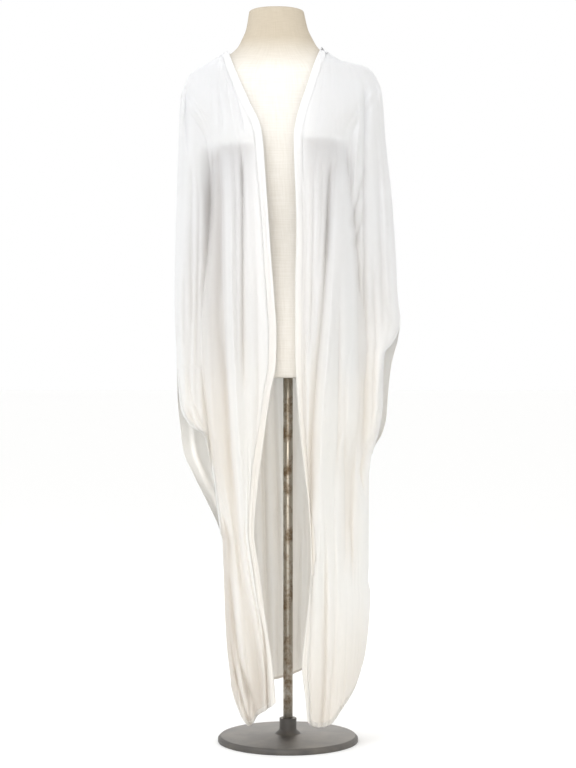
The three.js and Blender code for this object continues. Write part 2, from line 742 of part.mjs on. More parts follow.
const coatOnForm = new THREE.Group();
function add(name, geometry, material) {
  const mesh = new THREE.Mesh(geometry, material);
  mesh.name = name;
  coatOnForm.add(mesh);
}
add("front_right", frontPanel("right"), crepe);
add("front_left", frontPanel("left"), crepe);
add("back_panel", backPanel(), crepe);
add("neck_band", neckBand(), bandCloth);
add("form_torso", formTorso(), linen);
add("form_pole", standPole(), steel);
add("form_base", standBase(), iron);

export default coatOnForm;
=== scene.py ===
# %% [markdown]
# # A kimono coat on a dress form
#
# The coat is long, thin and white. It hangs open over a linen dress form without arms, on a steel
# pole with a round foot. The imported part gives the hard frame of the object. This lesson dresses it:
# each cloth panel becomes a fine thin sheet with its folds, hems and stitches, the form gets its
# linen, and the stand gets worn metal. The front faces -Y and the wearer's right is -X.

import math

import bmesh
import bpy
import numpy as np
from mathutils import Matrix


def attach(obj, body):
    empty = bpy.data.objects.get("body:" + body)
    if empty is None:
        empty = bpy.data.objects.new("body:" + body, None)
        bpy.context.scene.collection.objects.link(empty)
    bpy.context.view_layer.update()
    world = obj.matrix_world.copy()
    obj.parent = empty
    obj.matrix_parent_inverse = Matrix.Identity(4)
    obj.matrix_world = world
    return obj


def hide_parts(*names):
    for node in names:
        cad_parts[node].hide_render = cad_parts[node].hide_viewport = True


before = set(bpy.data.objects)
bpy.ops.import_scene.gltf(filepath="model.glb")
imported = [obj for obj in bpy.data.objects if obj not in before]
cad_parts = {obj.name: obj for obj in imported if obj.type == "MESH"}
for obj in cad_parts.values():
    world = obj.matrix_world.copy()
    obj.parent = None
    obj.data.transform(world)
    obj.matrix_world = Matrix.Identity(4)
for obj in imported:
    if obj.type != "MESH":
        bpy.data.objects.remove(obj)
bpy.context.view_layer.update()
print("frame nodes:", sorted(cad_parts))

# %% [markdown]
# Colours are written as the hex values of a paint chart. Blender's sockets want linear light, so one
# function turns one into the other. Another adds a node with its settings and links, which keeps
# each material to a few readable lines. The inputs of a node that is already there are filled alone.


# %% Helpers for colours and nodes
def linear(hex_colour):
    channels = [int(hex_colour[i : i + 2], 16) / 255 for i in (1, 3, 5)]
    return (*[c / 12.92 if c <= 0.04045 else ((c + 0.055) / 1.055) ** 2.4 for c in channels], 1.0)


def fill(node, inputs):
    """Each input is a value, or another node's output to link from."""
    for key, value in inputs.items():
        if isinstance(value, bpy.types.NodeSocket):
            node.id_data.links.new(value, node.inputs[key])
        else:
            node.inputs[key].default_value = value


def add_node(tree, kind, settings=None, inputs=None):
    node = tree.nodes.new("ShaderNode" + kind)
    for name, value in (settings or {}).items():
        setattr(node, name, value)
    fill(node, inputs or {})
    return node


def new_material(name):
    material = bpy.data.materials.new(name)
    material.use_nodes = True
    tree = material.node_tree
    tree.nodes.clear()
    shader = add_node(tree, "BsdfPrincipled")
    add_node(tree, "OutputMaterial", inputs={"Surface": shader.outputs["BSDF"]})
    return material, tree, shader


print("the helpers are ready")

# %% [markdown]
# The camera stands 3.4 m away at the height of the coat's middle, as for a shop photograph. The lens
# follows from the picture: at the pole one pixel is 2 mm.

# %% Camera
PICTURE_HEIGHT = 768  # pixels
SENSOR = 36.0  # mm, along the picture's long side
CAMERA_AWAY = 3.4
CAMERA_HEIGHT = 0.713
MM_PER_PIXEL = 2.0

camera_data = bpy.data.cameras.new("camera")
camera_data.sensor_width = SENSOR
camera_data.lens = SENSOR * CAMERA_AWAY * 1000 / MM_PER_PIXEL / PICTURE_HEIGHT
camera = bpy.data.objects.new("camera", camera_data)
camera.location = (0, -CAMERA_AWAY, CAMERA_HEIGHT)
camera.rotation_euler = (math.pi / 2, 0, 0)
bpy.context.collection.objects.link(camera)
bpy.context.scene.camera = camera
print("lens", round(camera_data.lens, 1), "mm")

# %% [markdown]
# A pattern cutter describes a hanging coat by a few lines: where its side runs, where its front
# edges run, how far it stands before and behind the body, and how high its hem is. The tables hold
# those lines in millimetres, with a row for each height. A curve that never overshoots joins the
# rows, so the outline stays exactly where it was measured.

# %% The coat's lines
FRONT = -1
BACK = 1
NECK_LEVEL = 1377
NECK_TILT = 8  # the wearer's left neck point is higher
NECK_TILT_FROM = 1335
NECK_RISE = 7  # the band climbs the back of the neck
TOP_LEVEL = 1369  # the panels start here, under the band
HEM_LEVEL = 100
HEM_BLEND = 330
BAND_WIDTH = 16

# height, x: the shoulder, the fold over the arm, the sleeve's end, the side seam
SIDE_RIGHT = [
    (1377, -121), (1361, -147), (1349, -167), (1341, -183), (1329, -197), (1313, -205),
    (1281, -215), (1181, -219), (1001, -225), (881, -227), (771, -223), (681, -221),
    (621, -215), (577, -209), (531, -189), (479, -163), (427, -139), (400, -131),
    (281, -127), (201, -123), (111, -113),
]
SIDE_LEFT = [
    (1385, 67), (1373, 83), (1355, 113), (1350, 138), (1343, 161), (1323, 177), (1291, 188),
    (1201, 195), (1081, 208), (981, 215), (881, 220), (841, 225), (807, 221), (751, 207),
    (701, 201), (647, 197), (615, 189), (587, 173), (565, 166), (521, 162), (321, 161),
    (297, 165), (241, 162), (171, 153), (141, 143),
]
# height, x: the finished front edges, from the neck points to the hem corners
EDGE_RIGHT = [
    (1377, -121), (1347, -110), (1309, -95), (1257, -73), (1214, -54), (1190, -49),
    (1126, -44), (962, -33), (875, -26), (810, -22), (755, -23), (692, -34), (617, -45),
    (536, -56), (422, -66), (361, -57), (240, -41), (150, -28), (95, -24),
]
EDGE_LEFT = [
    (1385, 67), (1351, 54), (1287, 34), (1256, 24), (1220, 15), (1190, 11), (1010, 16),
    (900, 14), (788, 14), (725, 16), (634, 22), (563, 30), (482, 40), (387, 45), (320, 42),
    (239, 34), (165, 27), (104, 34), (59, 38),
]
# height, x: the front layer of each sleeve's end
CUFF_RIGHT = [
    (745, -221.5), (681, -216), (657, -211), (632, -195), (609, -165), (565, -156),
    (507, -146), (411, -133.5),
]
CUFF_LEFT = [
    (833, 224.7), (811, 217), (791, 205), (775, 191), (721, 188), (681, 188), (632, 183),
    (571, 167.5),
]
# share of the way across, height of the hem. The back is measured from its right side.
HEM_RIGHT = [(0, 95), (0.18, 80), (0.39, 64), (0.57, 43), (0.73, 57), (0.85, 76), (1, 111)]
HEM_LEFT = [(0, 59), (0.1, 49), (0.26, 45), (0.4, 49), (0.65, 80), (0.85, 108), (1, 141)]
HEM_BACK = [(0, 111), (0.3, 104), (0.42, 110), (0.58, 124), (0.75, 130), (1, 141)]
# height, reach before the side lines, reach behind them
DEPTH = [
    (1390, 50, 58), (1377, 54, 61), (1361, 60, 68), (1345, 66, 77), (1325, 74, 88),
    (1300, 86, 98), (1270, 102, 106), (1235, 119, 110), (1205, 130, 111), (1188, 133, 111),
    (1150, 132, 112), (1000, 128, 114), (900, 127, 120), (800, 127, 127), (700, 125, 126),
    (500, 119, 120), (300, 113, 115), (100, 108, 111),
]
# height, x, depth: the valley between the body and each sleeve
VALLEY_RIGHT = [
    (1310, -206, 10), (1260, -186, 50), (1220, -163, 60), (1181, -150, 60), (1081, -151, 46),
    (981, -156, 42), (881, -166, 42), (801, -170, 42), (721, -166, 40), (641, -158, 36),
    (561, -150, 30), (481, -140, 20), (411, -131, 8), (380, -130, 0),
]
VALLEY_LEFT = [
    (1320, 178, 10), (1280, 162, 56), (1240, 136, 78), (1201, 116, 82), (1111, 121, 56),
    (1041, 128, 48), (961, 134, 48), (881, 139, 54), (801, 144, 60), (721, 146, 52),
    (661, 145, 44), (601, 141, 36), (541, 140, 26), (481, 152, 12), (441, 161, 0),
]
BODY_POWER = 2.3
SLEEVE_SWELL = 7
BACK_VALLEY_FILL = 0.45  # the same valleys are shallower behind


# %% Smooth curves through the tables
def curve(table, column=1):
    """A smooth function through a table's rows that never overshoots them."""
    rows = sorted(table)
    keys = np.array([row[0] for row in rows], float)
    values = np.array([row[column] for row in rows], float)
    gaps = np.diff(keys)
    rises = np.diff(values) / gaps
    slopes = np.concatenate([rises[:1], np.zeros(len(rows) - 2), rises[-1:]])
    for i in range(1, len(rows) - 1):
        if rises[i - 1] * rises[i] > 0:
            slopes[i] = 2 * rises[i - 1] * rises[i] / (rises[i - 1] + rises[i])

    def value(at):
        at = np.clip(at, keys[0], keys[-1])
        i = np.clip(np.searchsorted(keys, at) - 1, 0, len(keys) - 2)
        s = (at - keys[i]) / gaps[i]
        low = (1 + 2 * s) * (1 - s) ** 2 * values[i] + s * (1 - s) ** 2 * gaps[i] * slopes[i]
        return low + s * s * ((3 - 2 * s) * values[i + 1] + (s - 1) * gaps[i] * slopes[i + 1])

    return value


def smooth_step(at, low, high):
    s = np.clip((at - low) / (high - low), 0, 1)
    return s * s * (3 - 2 * s)


def bell(at, middle, reach):
    return np.exp(-(((at - middle) / reach) ** 2))


side = {"right": curve(SIDE_RIGHT), "left": curve(SIDE_LEFT)}
edge = {"right": curve(EDGE_RIGHT), "left": curve(EDGE_LEFT)}
cuff = {"right": curve(CUFF_RIGHT), "left": curve(CUFF_LEFT)}
cuff_span = {"right": (CUFF_RIGHT[0][0], CUFF_RIGHT[-1][0]), "left": (CUFF_LEFT[0][0], CUFF_LEFT[-1][0])}
hem = {"right": curve(HEM_RIGHT), "left": curve(HEM_LEFT), "back": curve(HEM_BACK)}
valley_x = {"right": curve(VALLEY_RIGHT), "left": curve(VALLEY_LEFT)}
valley_depth = {"right": curve(VALLEY_RIGHT, 2), "left": curve(VALLEY_LEFT, 2)}
reach = {FRONT: curve(DEPTH, 1), BACK: curve(DEPTH, 2)}


def tilt(level):
    return NECK_TILT * smooth_step(level, NECK_TILT_FROM, NECK_LEVEL)


def hem_weight(level):
    return 1 - smooth_step(level, HEM_LEVEL, HEM_BLEND)


def side_x(hand, level):
    shift = hem_weight(level) * (hem[hand](1.0) - HEM_LEVEL)
    return side[hand](level + shift + (tilt(level) if hand == "left" else 0))


def edge_x(hand, level):
    shift = hem_weight(level) * (hem[hand](0.0) - HEM_LEVEL)
    return edge[hand](level + shift + (tilt(level) if hand == "left" else 0))


print("shoulder to hem", TOP_LEVEL - HEM_LEVEL, "mm")

# %% [markdown]
# The coat rests on the form at the shoulders and the bust, and falls free below them. The same few
# numbers for each height give the form: its half width, and how deep it is in front and behind. It
# leans a little to the wearer's right, as a loose form does on its pole.

# %% The form's shape
FORM = [
    (725, 158, 104, 108), (745, 163, 107, 112), (790, 167, 109, 117), (850, 163, 106, 114),
    (930, 143, 97, 97), (1010, 125, 91, 84), (1080, 130, 99, 87), (1140, 141, 106, 94),
    (1190, 149, 107, 99), (1230, 156, 99, 101), (1265, 168, 87, 98), (1295, 177, 76, 92),
    (1318, 174, 67, 83), (1333, 163, 62, 76), (1343, 148, 59, 70), (1352, 131, 56, 65),
    (1361, 111, 53, 61), (1372, 94, 50, 57), (1385, 80, 47, 53), (1401, 71, 45, 50),
    (1421, 62, 43, 47), (1455, 55, 41, 44),
]
FORM_POWER = 2.25
FORM_BOTTOM = 725
FORM_TOP = 1455
LEAN = math.tan(math.radians(1.8))
# the bust's middle, its reach across and upwards, and how far it stands out
BUST_X, BUST_Z, BUST_WIDE, BUST_HIGH, BUST_OUT = 72, 1192, 38, 44, 15
NECK_DOME = 9
BESIDE_FORM = 4  # how fast the depth falls off beside the form, so that it pushes no cloth out there

form_half = curve(FORM, 1)
form_reach = {FRONT: curve(FORM, 2), BACK: curve(FORM, 3)}


def lean_x(z):
    return -LEAN * (z - FORM_BOTTOM)


def dome(share, power):
    return np.maximum(0, 1 - np.abs(share) ** power) ** (1 / power)


def bust_at(x, z):
    return BUST_OUT * bell(np.abs(x - lean_x(z)), BUST_X, BUST_WIDE) * bell(z, BUST_Z, BUST_HIGH)


def form_depth(face, x, z):
    share = np.abs(x - lean_x(z)) / form_half(z)
    base = form_reach[face](z)
    inside = base * dome(share, FORM_POWER) + (bust_at(x, z) if face == FRONT else 0)
    return np.where(share >= 1, BESIDE_FORM * base * (1 - share), inside)


print("form", FORM_TOP + NECK_DOME - FORM_BOTTOM, "mm high")

# %% [markdown]
# Folds are most of what the eye reads on white cloth. They could come from a cloth simulation, but
# a simulation would move the outline that was measured. So each large fold is listed: its path
# down the coat, how far it reaches to either side, and how deep it is at each height. Cloth
# bends sharply at the bottom of a fold and rises from it in a long round, so the profile is a soft
# point between two slow curves. A plus depth is a ridge.

# %% Large folds, listed one by one
# reach towards the wearer's right, reach towards the left, rows of (height, x, depth)
FRONT_FOLDS = [
    # between the right sleeve and the body: the long fold that turns in to the hem's corner
    (25, 7, [(1180, -137, 0), (1140, -135, -12), (1068, -131, -17), (875, -128, -20), (778, -123, -18),
        (682, -117, -16), (586, -111, -15), (508, -104, -14), (412, -97, -14), (335, -87, -13),
        (258, -70, -12), (200, -59, -12), (157, -53, -11), (60, -51, -8)]),
    (11, 15, [(1180, -116, 0), (1100, -112, 6), (900, -109, 9), (700, -101, 9), (560, -92, 7),
        (400, -78, 0)]),
    (11, 10, [(1172, -145, 0), (1145, -147, -5), (1068, -154, -6), (875, -163, -7), (721, -165, -9),
        (566, -150, -10), (412, -132, 0)]),
    # down the middle of the right front
    (6, 6, [(1175, -89, 0), (1110, -88, -8), (975, -87.5, -11), (850, -87.5, -11), (750, -87, -9),
        (670, -85, 0)]),
    (8, 9, [(1150, -70, 0), (1000, -64, -4), (850, -59, -5), (700, -58, -5), (560, -65, -3),
        (450, -74, 0)]),
    (5, 6, [(1160, -103, 0), (1000, -101, -4), (800, -99, -4), (640, -96, 0)]),
    # the lower right corner, drawn in towards the edge
    (8, 7, [(345, -118, 0), (315, -113, -5), (258, -105, -9), (200, -94, -11), (161, -79, -11),
        (122, -65, -9), (60, -52, -7)]),
    (7, 7, [(260, -119, 0), (219, -113, -5), (171, -103, -8), (122, -84, -8), (80, -63, -6),
        (50, -56, -5)]),
    (5, 5, [(300, -55, 0), (258, -50, -5), (200, -43.5, -8), (122, -39.6, -8), (60, -38, -6)]),
    (5, 6, [(480, -84, 0), (412, -83, -3), (335, -73, -4), (258, -58, -4), (200, -50, 0)]),
    # beside the neck and down the right shoulder
    (6, 7, [(1345, -126, 0), (1309, -113, -3), (1271, -100, -4.5), (1222, -88, -4), (1190, -84, 0)]),
    (5, 6, [(1345, -158, 0), (1300, -152, -1.4), (1240, -146, -1.8), (1196, -143, 0)]),
    (5, 5, [(1350, -142, 0), (1290, -135, -1.6), (1230, -128, -2), (1194, -124, 0)]),
    (5, 5, [(1335, -126, 0), (1280, -117, -1.4), (1235, -110, -1.8), (1195, -106, 0)]),
    # the right sleeve
    (7, 12, [(1312, -192, 0), (1285, -199, -5), (1240, -203, -9), (1195, -200, -7), (1140, -196, 0)]),
    (9, 8, [(1170, -188, 0), (1068, -190, -6), (875, -191, -7), (760, -194, -5), (690, -197, 0)]),
    (7, 7, [(980, -203, 0), (900, -205, -3), (820, -206, -3.6), (730, -206, 0)]),
    (7, 7, [(1120, -174, 0), (1000, -176, -4), (850, -180, -5), (700, -182, -5), (600, -176, 0)]),
    (6, 6, [(700, -207, 0), (660, -199, -4), (636, -186, -6), (612, -170, -5), (596, -160, 0)]),
    (6, 6, [(740, -201, 0), (690, -192, -4), (655, -180, -5), (628, -166, -4), (606, -158, 0)]),
    # down the left front
    (7, 11, [(1150, 83, 0), (1110, 79, -9), (991, 74, -16), (894, 68.5, -11), (817, 63, -11),
        (759, 57, -12), (682, 51, -12), (605, 46, -12), (528, 44, -14), (450, 44, -9), (360, 46, 0)]),
    (11, 15, [(1130, 95, 0), (991, 89, 5), (894, 84, 8), (759, 74, 9), (605, 63, 7), (450, 61, 5),
        (340, 62, 0)]),
    (5, 6, [(1160, 33, 0), (1000, 33, -4), (800, 31, -4.5), (650, 33, -3.5), (540, 38, 0)]),
    (5, 6, [(1165, 49, 0), (1010, 48, -5), (860, 45, -5), (730, 40, 0)]),
    (5, 6, [(1168, 66, 0), (1090, 65, -4.5), (980, 61, -4), (900, 57, 0)]),
    (7, 9, [(940, 101, 0), (830, 99, -5), (721, 98, -7), (640, 97, -7), (560, 95, -5), (480, 92, 0)]),
    (8, 8, [(770, 116, 0), (680, 112, -5), (600, 110, -6), (480, 112, -6), (400, 112, -5),
        (320, 107, 0)]),
    (8, 9, [(650, 126, 0), (540, 123, -6), (460, 122, -8), (380, 124, -6), (310, 126, 0)]),
    (8, 8, [(420, 72, 0), (300, 74, -5), (200, 72, -6), (110, 66, -6), (50, 61, -5)]),
    (8, 9, [(400, 93, 0), (300, 94, -4), (220, 90, -5), (140, 82, -5), (60, 73, -4)]),
    # between the left sleeve and the body
    (10, 9, [(1185, 109, 0), (1145, 115, -7), (991, 132, -9), (798, 141, -10), (650, 138, -9),
        (528, 127, -6), (440, 128, 0)]),
    (7, 15, [(1322, 148, 0), (1290, 150, -7), (1242, 150, -11), (1145, 149, -10), (991, 151, -9),
        (817, 150, -9), (721, 152, -9), (624, 150, -8), (530, 147, 0)]),
    (6, 6, [(1300, 143, 0), (1242, 140, 3), (1165, 134, 5), (1078, 128, 4), (1030, 126, 0)]),
    (6, 6, [(1150, 153, 0), (1097, 142, -6), (1039, 128, -6), (1005, 121, 0)]),
    (6, 6, [(1075, 153, 0), (1030, 143, -5), (1000, 134, -5), (975, 127, 0)]),
    # the left sleeve
    (11, 10, [(1230, 174, 0), (1100, 179, -6), (960, 185, -7), (850, 189, -6), (770, 190, 0)]),
    (7, 7, [(1080, 192, 0), (940, 199, -4), (850, 205, -4), (800, 208, 0)]),
    (7, 7, [(1010, 168, 0), (900, 170, -5), (800, 172, -6), (740, 170, -7), (660, 168, -6),
        (590, 160, 0)]),
]
BACK_FOLDS = [
    (16, 12, [(1250, -126, 0), (1180, -124, -9), (1000, -119, -13), (700, -111, -13), (400, -97, -12),
        (60, -76, -10)]),
    (11, 14, [(1180, -92, 0), (1050, -90, -5), (850, -86, -6), (600, -78, -5), (380, -70, 0)]),
    (14, 12, [(1210, -62, 0), (1080, -60, -7), (820, -55, -10), (520, -48, -10), (250, -42, -9),
        (50, -38, -8)]),
    (9, 10, [(900, -32, 0), (700, -28, -4), (450, -22, -5), (240, -20, -4), (60, -20, -4)]),
    (12, 15, [(1270, -9, 0), (1150, -7, -6), (900, -3, -9), (620, 3, -9), (330, 7, -8), (60, 9, -8)]),
    (9, 8, [(1180, 24, 0), (1020, 26, -4), (820, 27, -4), (640, 28, 0)]),
    (14, 11, [(1220, 47, 0), (1090, 49, -8), (820, 53, -11), (500, 57, -11), (250, 60, -10),
        (60, 61, -9)]),
    (10, 10, [(760, 82, 0), (600, 82, -4), (400, 84, -5), (200, 86, -5), (60, 86, -5)]),
    (12, 17, [(1250, 98, 0), (1160, 101, -9), (900, 105, -12), (640, 106, -12), (380, 107, -11),
        (70, 107, -9)]),
    (10, 14, [(1270, 160, 0), (1180, 162, -6), (1000, 168, -8), (850, 175, -7), (740, 182, 0)]),
    (13, 10, [(1270, -184, 0), (1170, -187, -6), (1000, -190, -8), (820, -192, -7), (620, -186, 0)]),
    (8, 8, [(1330, -60, 0), (1290, -64, -2), (1220, -72, -2.5), (1150, -78, 0)]),
    (8, 8, [(1330, 40, 0), (1280, 44, -2), (1210, 52, -2.5), (1140, 58, 0)]),
    (9, 9, [(620, -196, 0), (570, -184, -4), (520, -168, -4), (470, -152, 0)]),
    (9, 9, [(700, 186, 0), (650, 180, -4), (600, 168, -4), (560, 158, 0)]),
]
SHARP = 0.2  # how round the bottom of a fold is, as a share of its reach
STEEP = 1.35
FOLD_GAIN = {FRONT: 1.6, BACK: 1.5}  # thin cloth lets light through, so only deep folds show


def lay_folds(table):
    """Each fold's reach to both sides, its path, its depth, and where it begins and ends."""
    return [(*sides, curve(rows), curve(rows, 2), rows[0][0], rows[-1][0]) for *sides, rows in table]


large_folds = {FRONT: lay_folds(FRONT_FOLDS), BACK: lay_folds(BACK_FOLDS)}


def fold_sum(face, level, x):
    total = np.zeros(np.broadcast(level, x).shape)
    for to_right, to_left, path, depth, top, end in large_folds[face]:
        off = x - path(level)
        off = off / np.where(off < 0, to_right, to_left)
        profile = np.exp(-STEEP * (np.sqrt(off * off + SHARP * SHARP) - SHARP))
        total = total + np.where((level < top) & (level > end), depth(level), 0) * profile
    return FOLD_GAIN[face] * total


print(len(FRONT_FOLDS), "folds laid in front,", len(BACK_FOLDS), "behind")

# %% [markdown]
# Between the large folds thin crepe is never smooth. It falls in soft pleats a finger wide, with
# finer lines in them. They follow the large folds, so they are drawn in a measure that bends with
# those: u runs across the cloth, and the guides are the places where u stays the same all the way
# down. The lines themselves are noise stretched along the fall of the cloth. Its absolute value
# makes round ridges with narrow dips between them, as pleats have.

# %% Fine folds that follow the large ones
NOISE_CELLS = 96
NOISE_START = (400.3, 40.7)  # keeps the cells' numbers above zero
GUIDE_U = {FRONT: (-220, -128, -28, 14, 69, 220), BACK: (-220, -118, -3, 105, 220)}
PLEAT_DRIFT = 0.6  # how far a pleat wanders, in pleat widths
PLEAT_ROUND = 0.006  # rounds the bottom of the dips
PLEAT_MEAN = 0.36  # taken off, so that the pleats leave the cloth where it was
# depth, width and length in mm, and the share of it that shows on the shoulders
PLEATS = [(8.0, 27, 520, 0.25), (4.0, 12, 300, 0.3), (1.2, 5.5, 150, 0.6)]
SHOULDER_FLAT = (1120, 1260)  # heights between which the pleats fade
HEM_PLEAT = (1.3, 7, 60)  # depth, width and length of those that the hem's stitching draws
HEM_DRAWN = (110, 190)
SEEDS = {FRONT: 7, BACK: 19}

# the longest folds, by their places in the tables
long_folds = {
    FRONT: [curve(FRONT_FOLDS[i][2]) for i in (0, 20)],
    BACK: [curve(BACK_FOLDS[i][2]) for i in (0, 4, 8)],
}


def guide_lines(face, level):
    """x of the lines on which u stays the same, from the right side to the left."""
    inner = [fold(level) for fold in long_folds[face]]
    if face == FRONT:
        inner[1:1] = [edge_x("right", level), edge_x("left", level)]
    return [side_x("right", level), *inner, side_x("left", level)]


def across_cloth(face, level, x):
    """The measure u: x as it would be at the waist, along the fall of the cloth."""
    at, places = guide_lines(face, level), GUIDE_U[face]
    u = places[0] + (x - at[0])
    for i in range(len(at) - 1):
        gap = np.maximum(at[i + 1] - at[i], 4)
        share = (x - at[i]) / gap
        u = np.where(x >= at[i], places[i] + share * (places[i + 1] - places[i]), u)
    return u


def stretched_noise(u, level, wide, long, seed):
    """Smooth noise from -1 to 1, in cells that are wide across the cloth and long down it."""
    values = np.random.default_rng(seed).uniform(-1, 1, (NOISE_CELLS, NOISE_CELLS))
    a, b = u / wide + NOISE_START[0], level / long + NOISE_START[1]
    i, j = np.floor(a).astype(int), np.floor(b).astype(int)
    fa, fb = smooth_step(a - i, 0, 1), smooth_step(b - j, 0, 1)
    i, j, i1, j1 = i % NOISE_CELLS, j % NOISE_CELLS, (i + 1) % NOISE_CELLS, (j + 1) % NOISE_CELLS
    near = values[i, j] * (1 - fa) + values[i1, j] * fa
    far = values[i, j1] * (1 - fa) + values[i1, j1] * fa
    return near * (1 - fb) + far * fb


def pleats(u, level, wide, long, seed):
    drift = PLEAT_DRIFT * wide * stretched_noise(u, level, 3 * wide, long, seed + 50)
    noise = stretched_noise(u + drift, level, wide, long, seed)
    return np.sqrt(noise**2 + PLEAT_ROUND) - PLEAT_MEAN


def fine_folds(face, level, x):
    seed = SEEDS[face]
    u = across_cloth(face, level, x)
    fallen = 1 - smooth_step(level, *SHOULDER_FLAT)
    total = 0
    for i, (deep, wide, long, kept) in enumerate(PLEATS):
        total = total + deep * pleats(u, level, wide, long, seed + i) * (kept + (1 - kept) * fallen)
    deep, wide, long = HEM_PLEAT
    return total + deep * pleats(u, level, wide, long, seed + 3) * (1 - smooth_step(level, *HEM_DRAWN))


print("fine folds follow", len(GUIDE_U[FRONT]), "lines in front")

# %% [markdown]
# The cloth's depth at any place is the larger of two surfaces: the dress form with a little room,
# and the hanging coat. A soft maximum joins them without an edge. The body of the coat is a flat
# arch from valley to valley, and each sleeve is a smaller arch beside it. The sleeves' back layers
# hang flatter where the sleeves are open. At the bust the cloth turns from a slope to a straight
# fall, and just below the turn it hangs back in a hollow that fades out lower down.

# %% The cloth's surface
CLOTH_CLEAR = 3.6  # mm between the form and the cloth's outer face
LEDGES = [(-106, 50, 1180), (68, 46, 1190)]  # middle, half width, height of the turn
LEDGE_ROUND = 3.0  # mm
LIP, LIP_HIGH = 2.0, 14  # the cloth stands a little proud above the turn
LEDGE_DEEP, LEDGE_FADE, LEDGE_TURN = 17.0, 170.0, 16.0  # the hollow's depth and its two heights
BUST_CLOTH, BUST_CLOTH_WIDE, BUST_FALL = 6, 50, 400
VALLEY_FULL = 30  # mm, how deep a valley is before it takes its whole form
SLEEVE_PARTS = 24  # mm, how wide a sleeve is before it parts from the body
FLAT_SHARE = 0.8  # how much of a back layer's arch is taken away at its open end
FLAT_ROOM = (15, 55)  # mm of sleeve
FLAT_ABOVE = (-20, 140)  # mm over the top of the opening
FLAT_SLOPE, FLAT_CURVE = 0.6, 0.008
SIDE_ROUND = (2, 18)  # mm from the side line, where the crease's soft bottom sets in
RELIEF_EASE = 22  # mm from the side line, where folds reach their depth
SOFT_MAX = 2  # mm
CREASE_SOFT = [(1120, 3), (1200, 9), (1260, 13), (1330, 13)]  # height, how round the valley's bottom is
crease_soft = curve(CREASE_SOFT)


def ledge_hollow(x, level, turn):
    """0 above the bust's turn, nearly 1 under it, and back to 0 lower down."""
    hollow = 0
    for middle, half, height in LEDGES:
        below = height - level
        below = (below + np.sqrt(below**2 + LEDGE_ROUND**2)) / 2
        across = np.exp(-(np.abs((x - middle) / half) ** 4))
        hollow = hollow + across * (1 - np.exp(-below / turn)) * np.exp(-below / LEDGE_FADE)
    return hollow


def ledge_lip(x, level):
    lip = 0
    for middle, half, height in LEDGES:
        lip = lip + np.exp(-(((x - middle) / half) ** 4)) * bell(level, height + LIP_HIGH, LIP_HIGH)
    return lip


def hanging_bust(x, level):
    """The cloth follows the bust from above and falls straight from it."""
    up = level - BUST_Z
    fall = np.where(up > 0, bell(level, BUST_Z, BUST_HIGH), np.exp(np.minimum(up, 0) / BUST_FALL))
    return BUST_CLOTH * bell(np.abs(x - lean_x(level)), BUST_X, BUST_CLOTH_WIDE) * fall


def hanging_arch(face, level, x):
    """The coat without folds: a flat arch over the body and a smaller one over each sleeve."""
    right, left = side_x("right", level), side_x("left", level)
    middle = (right + left) / 2
    on_right = x < middle
    half = np.where(on_right, middle - right, left - middle)
    to_valley = np.where(on_right, middle - valley_x["right"](level), valley_x["left"](level) - middle)
    sleeve_room = half - to_valley
    to_valley = np.minimum(to_valley, half)
    out = np.abs(x - middle)
    full = reach[face](level)
    low = np.where(on_right, valley_depth["right"](level), valley_depth["left"](level))
    low = np.minimum(low, full)
    if face == BACK:
        low = low + (full - low) * BACK_VALLEY_FILL * np.minimum(1, low / VALLEY_FULL)
    body = low + (full - low) * dome(np.minimum(out / to_valley, 1), BODY_POWER)
    share = np.clip((out - to_valley) / np.maximum(1e-6, half - to_valley), 0, 1)
    swell = np.minimum(1, low / VALLEY_FULL) * SLEEVE_SWELL * 4 * share * (1 - share)
    parted = np.where(out < to_valley, body, low * np.sqrt(1 - share * share) + swell)
    whole = full * dome(np.minimum(out / half, 1), BODY_POWER)
    return whole + (parted - whole) * smooth_step(sleeve_room, 0, SLEEVE_PARTS)


def flatter(hand, level):
    """How flat the back layer of a sleeve hangs beside its open end, and 0 away from it."""
    outwards = -1 if hand == "right" else 1
    room = outwards * (side_x(hand, level) - valley_x[hand](level))
    low, high = (cuff_span[hand][0] + above for above in FLAT_ABOVE)
    return FLAT_SHARE * smooth_step(room, *FLAT_ROOM) * (1 - smooth_step(level, low, high))


def cloth_depth(face, level, x):
    """How far the cloth's outer face stands before or behind the side lines."""
    right, left = side_x("right", level), side_x("left", level)
    to_side = np.minimum(x - right, left - x)
    arch = hanging_arch(face, level, x)
    around = sum(hanging_arch(face, level, x + k * crease_soft(level)) for k in (-1, -0.5, 0.5, 1))
    arch = arch + (around / 4 - arch) * smooth_step(to_side, *SIDE_ROUND)
    relief = fold_sum(face, level, x) + fine_folds(face, level, x)
    if face == BACK:
        flat = np.minimum(arch, FLAT_SLOPE * to_side + FLAT_CURVE * to_side**2)
        on_right = x < (right + left) / 2
        arch = arch + (flat - arch) * np.where(on_right, flatter("right", level), flatter("left", level))
    else:
        relief = relief + hanging_bust(x, level) + LIP * ledge_lip(x, level)
        relief = relief - LEDGE_DEEP * ledge_hollow(x, level, LEDGE_TURN)
    depth = np.maximum(arch + relief * smooth_step(to_side, 0, RELIEF_EASE), 0)
    z = level + tilt(level) * np.clip((x - right) / (left - right), 0, 1)
    lowest = form_depth(face, x, z) + CLOTH_CLEAR - np.maximum(0, FORM_BOTTOM - level)
    return (depth + lowest + np.sqrt((depth - lowest) ** 2 + SOFT_MAX**2)) / 2


print("chest stands", round(float(cloth_depth(FRONT, 1190.0, 60.0))), "mm before the side lines")
